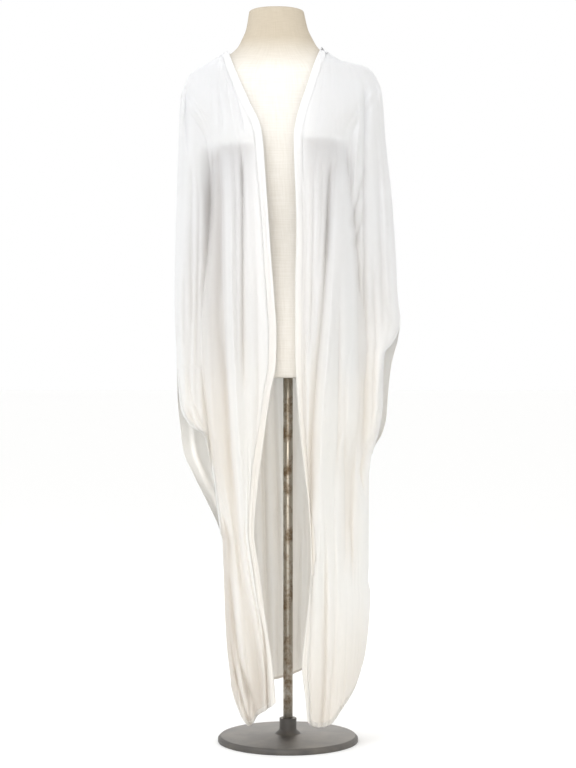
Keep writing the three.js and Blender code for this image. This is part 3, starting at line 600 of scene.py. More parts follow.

# %% [markdown]
# Thin cloth glows where the light comes through it once, and greys where shade falls on it. The
# renderer's translucency gives only a part of that, so each point of the cloth carries a painted shade
# from 0 to 1 that its material multiplies in: in a deep fold, under the turn at the bust, low on the
# fronts and on their turned hems, on the right flank low down, beside the right sleeve, and as a dark
# line along the back's rolled hem.

# %% Painted shade on the cloth
SHADE_FROM, SHADE_DEPTH = 2.5, 13  # mm below the smooth surface, where it begins and over how much
# painted shade: in folds, under the bust's turn, low on the fronts, on the right flank and on the band
FOLD_SHADE, LEDGE_SHADE, HEM_SHADE, FLANK_SHADE, BAND_SHADE = 0.4, 0.95, 0.6, 0.85, 0.35
LEDGE_SHADE_TURN = 5.0  # mm, quicker than the hollow itself
BACK_HEM_SHADE = 0.2
BACK_EDGE = (3, 6)  # mm over its end, painted full dark as a line that stands for the back's rolled hem
FLANK = (8, 28)  # mm from the right side line
FLANK_TOP = (420, 540)  # heights between which it ends
SLEEVE_SHADE = 0.35  # painted shade in the valley between the right sleeve and the long fold beside it
SLEEVE_OUTER, SLEEVE_INNER = (-52, -26), (-5, 4)  # mm from the fold
SLEEVE_LOWER, SLEEVE_UPPER = (420, 560), (1060, 1150)
BAND_SHADE_TOP = (1130, 1230)


def shade_at(face, level, x):
    """Painted shade on the cloth: 0 on a ridge, up to 1 in the dark."""
    # painted shade in the folds, darker where a fold is deeper
    deep = -fold_sum(face, level, x) - fine_folds(face, level, x) - SHADE_FROM
    shade = FOLD_SHADE * np.clip(deep / SHADE_DEPTH, 0, 1)
    # painted shade, darker towards the hem
    low = 1 - smooth_step(level, HEM_LEVEL, HEM_BLEND)
    if face == BACK:
        # a painted dark line along the back's rolled hem
        rolled_hem_shade = 1 - smooth_step(level - HEM_LEVEL, *BACK_EDGE)
        return np.clip(shade + BACK_HEM_SHADE * low + rolled_hem_shade, 0, 1)
    # painted shade on the right flank low down, which turns away from the light
    flank = 1 - smooth_step(x - side_x("right", level), *FLANK)
    shade = shade + HEM_SHADE * low + FLANK_SHADE * flank * (1 - smooth_step(level, *FLANK_TOP))
    # painted shade in the valley beside the right sleeve's long fold
    off = x - long_folds[FRONT][0](level)
    beside = smooth_step(off, *SLEEVE_OUTER) * (1 - smooth_step(off, *SLEEVE_INNER))
    tall = smooth_step(level, *SLEEVE_LOWER) * (1 - smooth_step(level, *SLEEVE_UPPER))
    shade = shade + SLEEVE_SHADE * beside * tall
    # painted shade under the bust's turn
    return np.clip(shade + LEDGE_SHADE * ledge_hollow(x, level, LEDGE_SHADE_TURN), 0, 1)


print("shade under the bust's turn", round(float(shade_at(FRONT, 1170.0, 68.0)), 2))

# %% [markdown]
# One function turns a level and an x into a point of the cloth. The neck is tilted a little and the
# hem isn't level, so the true height differs from the nominal one near both ends.

# %% Points of the cloth
FRONTS_MEET = -8  # mm from the middle of the side lines to the middle of the gap between the fronts


def skin(face, level, x):
    """Points of the cloth's outer face at nominal levels, before or behind the side lines."""
    level, x = np.broadcast_arrays(np.asarray(level, float), np.asarray(x, float))
    right, left = side_x("right", level), side_x("left", level)
    share = (x - right) / (left - right)
    z = level + tilt(level) * np.clip(share, 0, 1)
    if face == BACK:
        lift = hem["back"](share) - HEM_LEVEL
        return np.stack([x, cloth_depth(face, level, x), z + hem_weight(level) * lift], -1)
    lift = 0
    for hand, sign in (("right", -1), ("left", 1)):
        start = edge_x(hand, level)
        along = np.clip((x - start) / (side_x(hand, level) - start), 0, 1)
        mine = (x - (right + left) / 2 - FRONTS_MEET) * sign > 0
        lift = lift + np.where(mine, hem[hand](along) - HEM_LEVEL, 0)
    return np.stack([x, -cloth_depth(face, level, x), z + hem_weight(level) * lift], -1)


print("top of the right front", np.round(skin(FRONT, TOP_LEVEL, edge_x("right", TOP_LEVEL))), "mm")

# %% [markdown]
# A panel is a grid: rows go down the coat, and each row crosses it with its points evenly spaced
# along the cloth. That puts enough points where a row turns away from the eye, and it makes the
# distance along a row the cloth's own measure. That measure becomes the UV map, so the weave
# follows the cloth round every fold. The sheet gets its thickness inwards.

# %% Rows of a panel
FINE = 420  # points measured along a row before it is spaced evenly
CROWDING = 0.6  # how much closer the rows lie at both ends
SEARCH_BELOW, SEARCH_ABOVE = 5, 4.0  # mm, where a row's station on the slanted edge is looked for
HALVINGS = 24
SEAM_POINTS = 160
SLANT_FROM = 1100  # the height from which the front edges slant to the neck
SEAM_EASE = 0.1  # share of a row that turns from the seam's slant to the row's own level


def even_rows(points, shade, columns):
    """Spaces each row's points evenly along its length, and carries their shade along."""
    steps = np.linalg.norm(np.diff(points, axis=1), axis=2)
    along = np.concatenate([np.zeros((len(points), 1)), np.cumsum(steps, axis=1)], axis=1)
    want = np.linspace(0, along[:, -1], columns + 1, axis=1)
    points = np.concatenate([points, shade[..., None]], axis=-1)
    rows = [[np.interp(w, a, p[:, k]) for k in range(4)] for w, a, p in zip(want, along, points)]
    made = np.transpose(np.array(rows), (0, 2, 1))
    return made[..., :3], want, made[..., 3]


def row_levels(count):
    """Levels from the shoulder to the hem, closer together at both ends."""
    share = np.linspace(0, 1, count)
    slow_ends = share - CROWDING * np.sin(2 * np.pi * share) / (2 * np.pi)
    return TOP_LEVEL + (HEM_LEVEL - TOP_LEVEL) * slow_ends


def outer_x(hand, level):
    """The side line, or the open end of the sleeve's front layer."""
    line = side_x(hand, level)
    top, end = cuff_span[hand]
    opened = cuff[hand](level)
    inside = (level <= top) & (level >= end) & (np.abs(opened) < np.abs(line))
    return np.where(inside, opened, line)


def unit(vectors):
    return vectors / np.linalg.norm(vectors, axis=-1, keepdims=True)


def seam_place(hand, level):
    """Level and x of the band's seam, a band's width along the cloth from the front edge."""
    outwards = -1 if hand == "right" else 1
    start = skin(FRONT, level, edge_x(hand, level))
    down = unit(skin(FRONT, level - 2, edge_x(hand, level - 2)) - start)
    along = unit(skin(FRONT, level, start[:, 0] + outwards) - start)
    across = unit(along - down * (along * down).sum(axis=1, keepdims=True))
    return level + across[:, 2] * BAND_WIDTH, start[:, 0] + across[:, 0] * BAND_WIDTH


def band_stations(hand, levels):
    """Level and x of the finished edge and of the band's seam, for each row of the panel."""
    low, high = levels - SEARCH_BELOW, np.full(len(levels), NECK_LEVEL + SEARCH_ABOVE)
    for _ in range(HALVINGS):
        at = (low + high) / 2
        below = skin(FRONT, *seam_place(hand, at))[:, 2] < skin(FRONT, levels, edge_x(hand, at))[:, 2]
        low, high = np.where(below, at, low), np.where(below, high, at)
    slanted_level, slanted_x = seam_place(hand, low)
    outwards = -1 if hand == "right" else 1
    start = skin(FRONT, levels, edge_x(hand, levels))
    xs = start[:, :1] + outwards * np.linspace(0, 2 * BAND_WIDTH, SEAM_POINTS)
    steps = np.linalg.norm(np.diff(skin(FRONT, levels[:, None], xs), axis=1), axis=2)
    x = xs[np.arange(len(levels)), np.argmax(np.cumsum(steps, axis=1) > BAND_WIDTH, axis=1)]
    upper = levels >= SLANT_FROM
    edges = np.where(upper, low, levels), edge_x(hand, np.where(upper, low, levels))
    return edges, (np.where(upper, slanted_level, levels), np.where(upper, slanted_x, x))


def front_grid(hand, rows, columns):
    levels = row_levels(rows)
    seam_level, seam_x = (place[:, None] for place in band_stations(hand, levels)[1])
    share = np.sin(np.linspace(0, np.pi / 2, FINE))
    xs = seam_x + (outer_x(hand, levels)[:, None] - seam_x) * share
    near_seam = 1 - smooth_step(share, 0, SEAM_EASE)
    rows = levels[:, None] + (seam_level - levels[:, None]) * near_seam
    return even_rows(skin(FRONT, rows, xs), shade_at(FRONT, rows, xs), columns)


def back_grid(rows, columns):
    levels = row_levels(rows)[:, None]
    right, left = side_x("right", levels), side_x("left", levels)
    share = np.sin(np.linspace(-np.pi / 2, np.pi / 2, 2 * FINE))
    xs = (right + left) / 2 + share * (left - right) / 2
    return even_rows(skin(BACK, levels, xs), shade_at(BACK, levels, xs), columns)


# %% From a grid to a sheet
CLOTH_THICK = 0.8  # mm; the real crepe is thinner, but its edge has to show
MM = 0.001
CENTRE_DROP = 120  # mm below each point lies the place that its normal points away from


def grid_normals(grid):
    across = np.gradient(grid, axis=1)
    down = np.gradient(grid, axis=0)
    normals = unit(np.cross(across, down))
    centre = np.stack([lean_x(grid[..., 2]), 0 * grid[..., 0], grid[..., 2] - CENTRE_DROP], -1)
    return normals if (normals * (grid - centre)).sum() > 0 else -normals


def sheet_mesh(name, grid, across, shade, thickness):
    """A sheet from a grid in mm. Its UV map is the cloth's own measure in metres."""
    rows, columns = grid.shape[:2]
    index = np.arange(rows * columns).reshape(rows, columns)
    faces = np.stack([index[:-1, :-1], index[1:, :-1], index[1:, 1:], index[:-1, 1:]], -1).reshape(-1, 4)
    outwards = grid_normals(grid).reshape(-1, 3)
    points = (grid * MM).reshape(-1, 3)
    a, b, c = (points[faces[:, k]] for k in range(3))
    if (np.cross(b - a, c - a) * outwards[faces[:, 0]]).sum() < 0:
        faces = faces[:, ::-1]
    mesh = bpy.data.meshes.new(name)
    mesh.from_pydata(points.tolist(), [], faces.tolist())
    steps = np.linalg.norm(np.diff(grid, axis=0), axis=2)
    down = np.concatenate([np.zeros((1, columns)), np.cumsum(steps, axis=0)])
    uv = np.stack([across, down], -1).reshape(-1, 2) * MM
    loops = np.empty(len(mesh.loops), dtype=np.int32)
    mesh.loops.foreach_get("vertex_index", loops)
    mesh.uv_layers.new(name="cloth").data.foreach_set("uv", uv[loops].ravel())
    shade = np.ravel(shade).astype(np.float32)
    mesh.attributes.new("shade", "FLOAT", "POINT").data.foreach_set("value", shade)
    mesh.polygons.foreach_set("use_smooth", np.ones(len(mesh.polygons), dtype=bool))
    piece = bpy.data.objects.new(name, mesh)
    bpy.context.collection.objects.link(piece)
    wall = piece.modifiers.new("wall", "SOLIDIFY")
    wall.thickness = thickness * MM
    wall.offset = -1
    apply_modifier(piece, wall)
    return piece


def apply_modifier(piece, modifier):
    bpy.ops.object.select_all(action="DESELECT")
    bpy.context.view_layer.objects.active = piece
    piece.select_set(True)
    bpy.ops.object.modifier_apply(modifier=modifier.name)


FRONT_ROWS, FRONT_COLUMNS = 330, 112
BACK_ROWS, BACK_COLUMNS = 290, 162
grids = {hand: front_grid(hand, FRONT_ROWS, FRONT_COLUMNS) for hand in ("right", "left")}
grids["back"] = back_grid(BACK_ROWS, BACK_COLUMNS)
names = {"right": "coat_front_right", "left": "coat_front_left", "back": "coat_back"}
panels = {part: sheet_mesh(name, *grids[part], CLOTH_THICK) for part, name in names.items()}
for piece in panels.values():
    print(piece.name, len(piece.data.polygons), "faces")

# %% [markdown]
# The fronts and the back neck are finished with a narrow band of the same crepe, folded double. It
# runs up one front edge, round the neck and down the other in one strip. Its middle stands a little
# proud because it holds the seam's turnings.

# %% The neck band
NECK_STATIONS = 60
BAND_ACROSS = 11
BAND_PROUD = 0.6  # mm
BAND_THICK = 0.95  # mm


def neck_ring(level, angle):
    right, left = side_x("right", level), side_x("left", level)
    return skin(BACK, level, (right + left) / 2 + np.sin(angle) * (left - right) / 2)


def band_grid():
    levels = row_levels(FRONT_ROWS)
    share = np.linspace(0, 1, BAND_ACROSS)[None, :, None]
    across = share[..., 0]
    fronts = {}
    for hand in ("right", "left"):
        (edge_level, start), (seam_level, seam) = band_stations(hand, levels)
        rows = edge_level[:, None] + (seam_level - edge_level)[:, None] * across
        fronts[hand] = skin(FRONT, rows, start[:, None] + (seam - start)[:, None] * across)
    angle = np.linspace(-np.pi / 2, np.pi / 2, NECK_STATIONS)
    neck_edge = neck_ring(NECK_LEVEL + NECK_RISE * np.cos(angle) ** 2, angle)
    neck_seam = neck_ring(np.full(NECK_STATIONS, float(TOP_LEVEL)), angle)
    neck = neck_edge[:, None] + (neck_seam - neck_edge)[:, None] * share
    grid = np.concatenate([fronts["right"][::-1], neck, fronts["left"]])
    grid = grid + grid_normals(grid) * BAND_PROUD * np.sin(np.pi * share)
    # painted shade on the band below the chest
    shade = BAND_SHADE * (1 - smooth_step(grid[..., 2], *BAND_SHADE_TOP))
    return grid, np.tile(across * BAND_WIDTH, (len(grid), 1)), shade


band = sheet_mesh("coat_neck_band", *band_grid(), BAND_THICK)
print(band.name, len(band.data.polygons), "faces")

# %% [markdown]
# The bottom of each front and the end of each sleeve are turned under and stitched. A turned hem is
# two layers thick, so it shows as a slim raised strip. Each one is taken from the panel's own edge,
# a hem's width deep, and moved out by less than a millimetre. The back's hem shows only as a dark
# rolled line, so the back has no strip, and the shade at its edge stands for it.

# %% Turned hems
HEM_WIDTH = 10
HEM_PROUD = 0.7  # mm
HEM_OVER = 0.3  # mm past the panel's edge, so that the strip wraps it
HEM_STEPS = 5
HEM_LINES = 12  # lines of the panel that reach past a hem's width


def hem_strip(name, lines, shade):
    """A strip along the first of several lines of points. The others show the way in."""
    lines = np.array(lines)
    steps = np.linalg.norm(np.diff(lines, axis=0), axis=2)
    away = np.concatenate([np.zeros((1, lines.shape[1])), np.cumsum(steps, axis=0)])
    want = np.linspace(0, HEM_WIDTH, HEM_STEPS + 1)
    strip = np.array(
        [[np.interp(want, away[:, i], lines[:, i, k]) for k in range(3)] for i in range(lines.shape[1])]
    ).transpose(0, 2, 1)
    strip = strip + grid_normals(strip) * HEM_PROUD
    strip[:, 0] = lines[0] - unit(strip[:, 1] - strip[:, 0]) * HEM_OVER
    across, shade = np.tile(want, (len(strip), 1)), np.full(strip.shape[:2], shade)
    return sheet_mesh(name, strip, across, shade, CLOTH_THICK)


# the front hems carry the painted shade of the lower fronts; the sleeves' hems carry none
hems = []
for hand in ("right", "left"):
    hems.append(hem_strip("hem_front_" + hand, grids[hand][0][::-1][:HEM_LINES], HEM_SHADE))
for hand in ("right", "left"):
    grid = grids[hand][0]
    top, end = cuff_span[hand]
    rows = (grid[:, -1, 2] <= top) & (grid[:, -1, 2] >= end)
    lines = grid[rows][:, ::-1].transpose(1, 0, 2)[:HEM_LINES]
    hems.append(hem_strip("hem_sleeve_" + hand, lines, 0))
for piece in hems:
    print(piece.name, len(piece.data.polygons), "faces")

# %% [markdown]
# The dress form is a padded torso with a tight linen cover. It is lofted from rings, closed by a low
# dome on the neck and a flat board underneath. Its cover is sewn from panels, so fine seams run down
# its sides and the middle of its back, and the rim of the board shows at the bottom.

# %% Dress form
FORM_RINGS = 150
FORM_AROUND = 160
SEAM_ANGLES = (0.0, 0.5, 1.0)  # the sides and the middle of the back, in half turns from the left
SEAM_WIDE, SEAM_DEEP = 0.008, 0.006  # in half turns, and as a share of the form's reach
BOARD_ROUND = 4  # mm, the rounding of the board's rim
DOME_TURNS = (10, 88, 12)  # from and to in degrees, and how many rings
MEAN_RADIUS = 130  # mm, for the measure round the form


def form_ring(z, scale=1.0):
    at = min(z, FORM_TOP)
    angle = np.linspace(0, 2 * np.pi, FORM_AROUND, endpoint=False)
    c, s = np.cos(angle), np.sin(angle)
    x = lean_x(at) + np.sign(c) * np.abs(c) ** (2 / FORM_POWER) * form_half(at) * scale
    deep = np.where(s < 0, form_reach[FRONT](at), form_reach[BACK](at))
    y = np.sign(s) * np.abs(s) ** (2 / FORM_POWER) * deep * scale
    y = y - np.where(s < 0, bust_at(x, at) * np.abs(s), 0)
    off = [(angle / np.pi - place + 1) % 2 - 1 for place in SEAM_ANGLES]
    inwards = 1 - SEAM_DEEP * sum(np.exp(-(each / SEAM_WIDE) ** 2) for each in off)
    return np.stack([lean_x(at) + (x - lean_x(at)) * inwards, y * inwards, np.full_like(x, z)], 1)


def form_rings():
    """The rounded rim of the board, the torso with its neck, and the low dome on top."""
    rim = [(lift, 1 - 0.03 * (1 - lift / BOARD_ROUND) ** 2) for lift in range(BOARD_ROUND)]
    rings = [form_ring(FORM_BOTTOM + lift, scale) for lift, scale in rim]
    rings += [form_ring(z) for z in np.linspace(FORM_BOTTOM + BOARD_ROUND, FORM_TOP, FORM_RINGS)]
    for turn in np.linspace(*DOME_TURNS):
        rise, inwards = math.sin(math.radians(turn)), math.cos(math.radians(turn))
        scale = 0.3 + 0.7 * inwards if turn < 60 else inwards + 0.15
        rings.append(form_ring(FORM_TOP + NECK_DOME * rise, scale))
    return rings


def loft(name, rings):
    """Joins rings of points into a closed skin, with a UV map that runs round and up it in metres."""
    made = bmesh.new()
    uv_layer = made.loops.layers.uv.new("cloth")
    layers = [[made.verts.new(point * MM) for point in ring] for ring in rings]
    around = 2 * np.pi * MEAN_RADIUS * MM
    for low, high in zip(layers, layers[1:]):
        for i in range(FORM_AROUND):
            j = (i + 1) % FORM_AROUND
            face = made.faces.new((low[i], low[j], high[j], high[i]))
            face.smooth = True
            for loop, k in zip(face.loops, (i, i + 1, i + 1, i)):
                loop[uv_layer].uv = (k / FORM_AROUND * around, loop.vert.co.z)
    made.faces.new(layers[-1])
    made.faces.new(layers[0][::-1])
    mesh = bpy.data.meshes.new(name)
    made.to_mesh(mesh)
    made.free()
    piece = bpy.data.objects.new(name, mesh)
    bpy.context.collection.objects.link(piece)
    return piece


form_piece = loft("dress_form", form_rings())
print(form_piece.name, len(form_piece.data.polygons), "faces")

# %% [markdown]
# The stand is a steel tube in a turned iron foot. Both start as a cylinder of the real size. The
# foot's top face is inset and drawn up in steps to make its collar, and its sharp edges are beveled.

# %% Stand
POLE_RADIUS = 9.5
BASE_RADIUS = 140
BASE_THICK = 12
COLLAR_RADIUS = 17
COLLAR_TOP = 46
POLE_IN_FORM = 59  # mm
POLE_WALL, POLE_HOLLOW = 1.5, 20  # mm, how thick the tube is and how deep its end is open
RIM = 5  # mm, the slope at the foot's rim
FOOT_CROWN = 3  # mm that the foot's top rises to the collar
FLARE, FLARE_HIGH = 9, 8  # mm, the collar's wider root
POLE_PLAY = 0.3  # mm between the pole and the collar


def start_cylinder(name, radius, low, high, around):
    bpy.ops.object.select_all(action="DESELECT")
    bpy.ops.mesh.primitive_cylinder_add(
        vertices=around, radius=radius * MM, depth=(high - low) * MM, location=(0, 0, (low + high) / 2 * MM)
    )
    piece = bpy.context.object
    piece.name = piece.data.name = name
    bpy.ops.object.transform_apply(location=True, rotation=True, scale=True)
    return piece


def select_faces(piece, test):
    """Selects in edit mode the faces whose middle and normal pass a test."""
    bpy.ops.object.mode_set(mode="EDIT")
    bpy.ops.mesh.select_mode(type="FACE")
    bpy.ops.mesh.select_all(action="DESELECT")
    bpy.ops.object.mode_set(mode="OBJECT")
    for face in piece.data.polygons:
        face.select = bool(test(face.center, face.normal))
    bpy.ops.object.mode_set(mode="EDIT")


def round_edges(piece, width, segments, angle=30):
    bevel = piece.modifiers.new("rounding", "BEVEL")
    bevel.width = width * MM
    bevel.segments = segments
    bevel.limit_method = "ANGLE"
    bevel.angle_limit = math.radians(angle)
    apply_modifier(piece, bevel)
    bpy.ops.object.shade_smooth_by_angle(angle=math.radians(40))


def rise_and_scale(lift, radius_from, radius_to):
    """Draws the selected round face up and changes its radius."""
    bpy.ops.mesh.extrude_region_move(TRANSFORM_OT_translate={"value": (0, 0, lift * MM)})
    share = radius_to / radius_from
    bpy.ops.transform.resize(value=(share, share, 1), center_override=(0, 0, 0))


pole = start_cylinder("stand_pole", POLE_RADIUS, BASE_THICK, FORM_BOTTOM + POLE_IN_FORM, 48)
select_faces(pole, lambda centre, normal: normal.z > 0.9)
bpy.ops.mesh.inset(thickness=POLE_WALL * MM)
bpy.ops.mesh.extrude_region_move(TRANSFORM_OT_translate={"value": (0, 0, -POLE_HOLLOW * MM)})
bpy.ops.object.mode_set(mode="OBJECT")
round_edges(pole, 0.6, 2, 60)

foot = start_cylinder("stand_foot", BASE_RADIUS, 0, BASE_THICK - RIM, 96)
select_faces(foot, lambda centre, normal: normal.z > 0.9)
rise_and_scale(RIM, BASE_RADIUS, BASE_RADIUS - RIM)
bpy.ops.mesh.inset(thickness=(BASE_RADIUS - RIM - COLLAR_RADIUS - FLARE) * MM)
bpy.ops.transform.translate(value=(0, 0, FOOT_CROWN * MM))
rise_and_scale(FLARE_HIGH, COLLAR_RADIUS + FLARE, COLLAR_RADIUS)
rise_and_scale(COLLAR_TOP - BASE_THICK - FOOT_CROWN - FLARE_HIGH, COLLAR_RADIUS, COLLAR_RADIUS)
bpy.ops.mesh.inset(thickness=(COLLAR_RADIUS - POLE_RADIUS - POLE_PLAY) * MM)
socket = COLLAR_TOP - BASE_THICK - 1
bpy.ops.mesh.extrude_region_move(TRANSFORM_OT_translate={"value": (0, 0, -socket * MM)})
bpy.ops.object.mode_set(mode="OBJECT")
round_edges(foot, 1.2, 3, 25)
print(pole.name, len(pole.data.polygons), "faces;", foot.name, len(foot.data.polygons), "faces")

# %% [markdown]
# The coat's cloth is a rayon crepe: fine yarns, some of them overtwisted, which shrink the surface
# into a soft pebble with lines along the warp. White dye and a matt yarn give a broad soft shine and
# no gloss. The cloth is so thin that light comes through it, which subsurface scattering gives with a
# path longer than the cloth is thick. Its white is painted light: cool at the shoulders, as under the
# cool light from above, and creamier lower down, as under warm light, and painted shade greys it. A
# real yarn is a quarter of a millimetre wide, too fine to show from three metres, so the crinkle is
# drawn at 2 to 3 mm and the weave at half a millimetre.

# %% Crepe
CRINKLE = 2.6  # mm between the crinkle's lines, coarser than real
YARN = 0.5  # mm, twice the real one
STITCH = 2.5  # mm
COOL_LIT_WHITE, WARM_LIT_WHITE = "#f9fbfe", "#faf4ea"  # painted light: the cool white of the lit shoulders, the cream of the warm-lit lower coat
COOL_LIT_FROM, WARM_LIT_FROM = 1.2, 0.6  # heights in metres
SHADE_WHITE = "#cfccca"  # what full shade multiplies the white with
SHOW_THROUGH = 1.0  # the share of light that enters the cloth and spreads in it
LIGHT_PATH = 3.0  # mm
MULTIPLY = {"data_type": "RGBA", "blend_type": "MULTIPLY"}


def woven(tree, uv, spacing):
    """Crossing yarns: one wave across the cloth, one along it, and the higher of the two."""
    size = {"Scale": 0.314 / (spacing * MM), "Distortion": 1.2, "Detail": 1.0, "Detail Scale": 0.6}
    waves = [
        add_node(tree, "TexWave", {"bands_direction": way, "wave_profile": "SIN"}, {"Vector": uv, **size})
        for way in ("X", "Y")
    ]
    height = {i: wave.outputs["Fac"] for i, wave in enumerate(waves)}
    return add_node(tree, "Math", {"operation": "MAXIMUM"}, height).outputs["Value"]


def stitch_row(tree, uv, height, place):
    """Presses a row of stitches into the relief, at a distance in mm from the strip's own edge."""
    split = add_node(tree, "SeparateXYZ", inputs={"Vector": uv})
    off = add_node(tree, "Math", {"operation": "SUBTRACT"}, {0: split.outputs["X"], 1: place * MM})
    off = add_node(tree, "Math", {"operation": "ABSOLUTE"}, {0: off.outputs["Value"]})
    half = {"From Min": 0.0, "From Max": 0.6 * MM, "To Min": 1.0, "To Max": 0.0}
    line = add_node(tree, "MapRange", inputs={"Value": off.outputs["Value"], **half})
    beat = add_node(tree, "Math", {"operation": "PINGPONG"}, {0: split.outputs["Y"], 1: STITCH * MM / 2})
    ends = {"From Min": 0.0, "From Max": 0.5 * MM, "To Min": 2.5, "To Max": 1.2}
    gap = add_node(tree, "MapRange", inputs={"Value": beat.outputs["Value"], **ends})
    press = {0: line.outputs["Result"], 1: gap.outputs["Result"]}
    press = add_node(tree, "Math", {"operation": "MULTIPLY"}, press).outputs["Value"]
    return add_node(tree, "Math", {"operation": "SUBTRACT"}, {0: height, 1: press}).outputs["Value"]


def crepe_relief(tree, stitched):
    """The crinkle runs along the warp, and the weave lies over it."""
    uv = add_node(tree, "UVMap", {"uv_map": "cloth"}).outputs["UV"]
    along = add_node(tree, "Mapping", inputs={"Vector": uv, "Scale": (1, 0.22, 1)}).outputs["Vector"]
    grain = {"Vector": along, "Scale": 1 / (CRINKLE * MM), "Detail": 3.0, "Roughness": 0.6}
    crinkle = add_node(tree, "TexNoise", inputs=grain)
    layers = {0: crinkle.outputs["Fac"], 1: 2.2, 2: woven(tree, uv, YARN)}
    height = add_node(tree, "Math", {"operation": "MULTIPLY_ADD"}, layers).outputs["Value"]
    if stitched:
        height = stitch_row(tree, uv, height, stitched)
    relief = {"Height": height, "Strength": 0.55, "Distance": 0.35 * MM}
    return add_node(tree, "Bump", inputs=relief).outputs["Normal"]


def crepe_colour(tree):
    """Painted light, cool to cream by height, broken up by patches, and darkened by the painted shade."""
    uv = add_node(tree, "UVMap", {"uv_map": "cloth"}).outputs["UV"]
    patches = add_node(tree, "TexNoise", inputs={"Vector": uv, "Scale": 9.0, "Detail": 2.0})
    place = add_node(tree, "TexCoord").outputs["Object"]
    upwards = add_node(tree, "SeparateXYZ", inputs={"Vector": place}).outputs["Z"]
    # painted light: the cloth turns from the cool white up top to the warm white lower down
    range_up = {"From Min": COOL_LIT_FROM, "From Max": WARM_LIT_FROM, "To Min": -0.15, "To Max": 0.85}
    lit_tint = add_node(tree, "MapRange", inputs={"Value": upwards, **range_up})
    layers = {0: patches.outputs["Fac"], 1: 0.3, 2: lit_tint.outputs["Result"]}
    patches_and_lit_tint = add_node(tree, "Math", {"operation": "MULTIPLY_ADD"}, layers)
    tone = add_node(tree, "ValToRGB", inputs={"Fac": patches_and_lit_tint.outputs["Value"]})
    for stop, white in zip(tone.color_ramp.elements, (COOL_LIT_WHITE, WARM_LIT_WHITE)):
        stop.color = linear(white)
    # painted shade, from the shade that each point of the cloth carries
    shade = add_node(tree, "Attribute", {"attribute_name": "shade"}).outputs["Fac"]
    whites = {"Factor": shade, "A": tone.outputs["Color"], "B": linear(SHADE_WHITE)}
    return add_node(tree, "Mix", MULTIPLY, whites).outputs["Result"]


def crepe_material(name, stitched=None):
    material, tree, shader = new_material(name)
    fill(shader, {"Base Color": crepe_colour(tree), "Normal": crepe_relief(tree, stitched)})
    fill(shader, {"Roughness": 0.78, "IOR": 1.47, "Sheen Weight": 0.1, "Sheen Roughness": 0.4})
    fill(shader, {"Subsurface Weight": SHOW_THROUGH, "Subsurface Scale": LIGHT_PATH * MM})
    fill(shader, {"Subsurface Radius": (1.0, 1.0, 1.0)})
    return material


crepe = crepe_material("white_rayon_crepe")
crepe_band = crepe_material("white_rayon_crepe_band", stitched=14.2)
crepe_hem = crepe_material("white_rayon_crepe_hem", stitched=7.0)
for piece in panels.values():
    piece.data.materials.append(crepe)
band.data.materials.append(crepe_band)
for piece in hems:
    piece.data.materials.append(crepe_hem)
print("crepe: crinkle", CRINKLE, "mm, yarn", YARN, "mm, stitch", STITCH, "mm")

# %% [markdown]
# The form's cover is natural linen in a plain weave. Flax yarn is uneven, so thicker slubs run along
# both directions, and the undyed fibre is a greyish beige. It has next to no shine.

# %% Linen
LINEN_YARN = 1.1  # mm; real yarn is 0.6 mm, drawn coarser so that it shows
LINEN_DARK, LINEN_LIGHT = "#e6e1d7", "#f2eee7"
NECK_TONE = "#d3c9b8"  # multiplied in at the neck, which is drawn darker
NECK_TONE_FROM, NECK_TONE_TO = 1.33, 1.40  # heights in metres

linen, tree, shader = new_material("natural_linen_cover")
uv = add_node(tree, "UVMap", {"uv_map": "cloth"}).outputs["UV"]
slubs = {}
for i, stretch in enumerate(((1, 0.06, 1), (0.06, 1, 1))):
    along = add_node(tree, "Mapping", inputs={"Vector": uv, "Scale": stretch}).outputs["Vector"]
    grain = {"Vector": along, "Scale": 1 / (2 * LINEN_YARN * MM), "Detail": 2.0}
    slubs[i] = add_node(tree, "TexNoise", inputs=grain).outputs["Fac"]
slub = add_node(tree, "Math", {"operation": "ADD"}, slubs).outputs["Value"]
layers = {0: slub, 1: 1.6, 2: woven(tree, uv, LINEN_YARN)}
height = add_node(tree, "Math", {"operation": "MULTIPLY_ADD"}, layers).outputs["Value"]
relief = add_node(tree, "Bump", inputs={"Height": height, "Strength": 0.6, "Distance": 0.4 * MM})
half_slub = add_node(tree, "Math", {"operation": "MULTIPLY"}, {0: slub, 1: 0.5}).outputs["Value"]
tone = add_node(tree, "ValToRGB", inputs={"Fac": half_slub})
for stop, at, colour in zip(tone.color_ramp.elements, (0.3, 0.7), (LINEN_DARK, LINEN_LIGHT)):
    stop.position, stop.color = at, linear(colour)
place = add_node(tree, "TexCoord").outputs["Object"]
upwards = add_node(tree, "SeparateXYZ", inputs={"Vector": place}).outputs["Z"]
reach_up = {"From Min": NECK_TONE_FROM, "From Max": NECK_TONE_TO, "To Min": 0.0, "To Max": 0.9}
neck_share = add_node(tree, "MapRange", inputs={"Value": upwards, **reach_up}).outputs["Result"]
colours = {"Factor": neck_share, "A": tone.outputs["Color"], "B": linear(NECK_TONE)}
neck_toned = add_node(tree, "Mix", MULTIPLY, colours).outputs["Result"]
fill(shader, {"Base Color": neck_toned, "Roughness": 0.9, "IOR": 1.5, "Normal": relief.outputs["Normal"]})
form_piece.data.materials.append(linen)
print("linen yarn", LINEN_YARN, "mm")

# %% [markdown]
# The pole is drawn steel tube that has lost its bright finish: dull grey, with brown patches where
# it rusted and was wiped. The foot is cast iron with a thin dark paint. Its grain shows as fine
# pits, and the paint is thinner in patches.

# %% Worn steel and painted iron
RUST_PATCH = 34  # mm
DRAW_LINE = 0.8  # mm between the tube's drawing lines, coarser than real
CAST_GRAIN = 1.6  # mm
BARE_STEEL, OLD_RUST = "#a8a297", "#7d6c58"
PAINT, THIN_PAINT = "#4a4744", "#5f5a53"

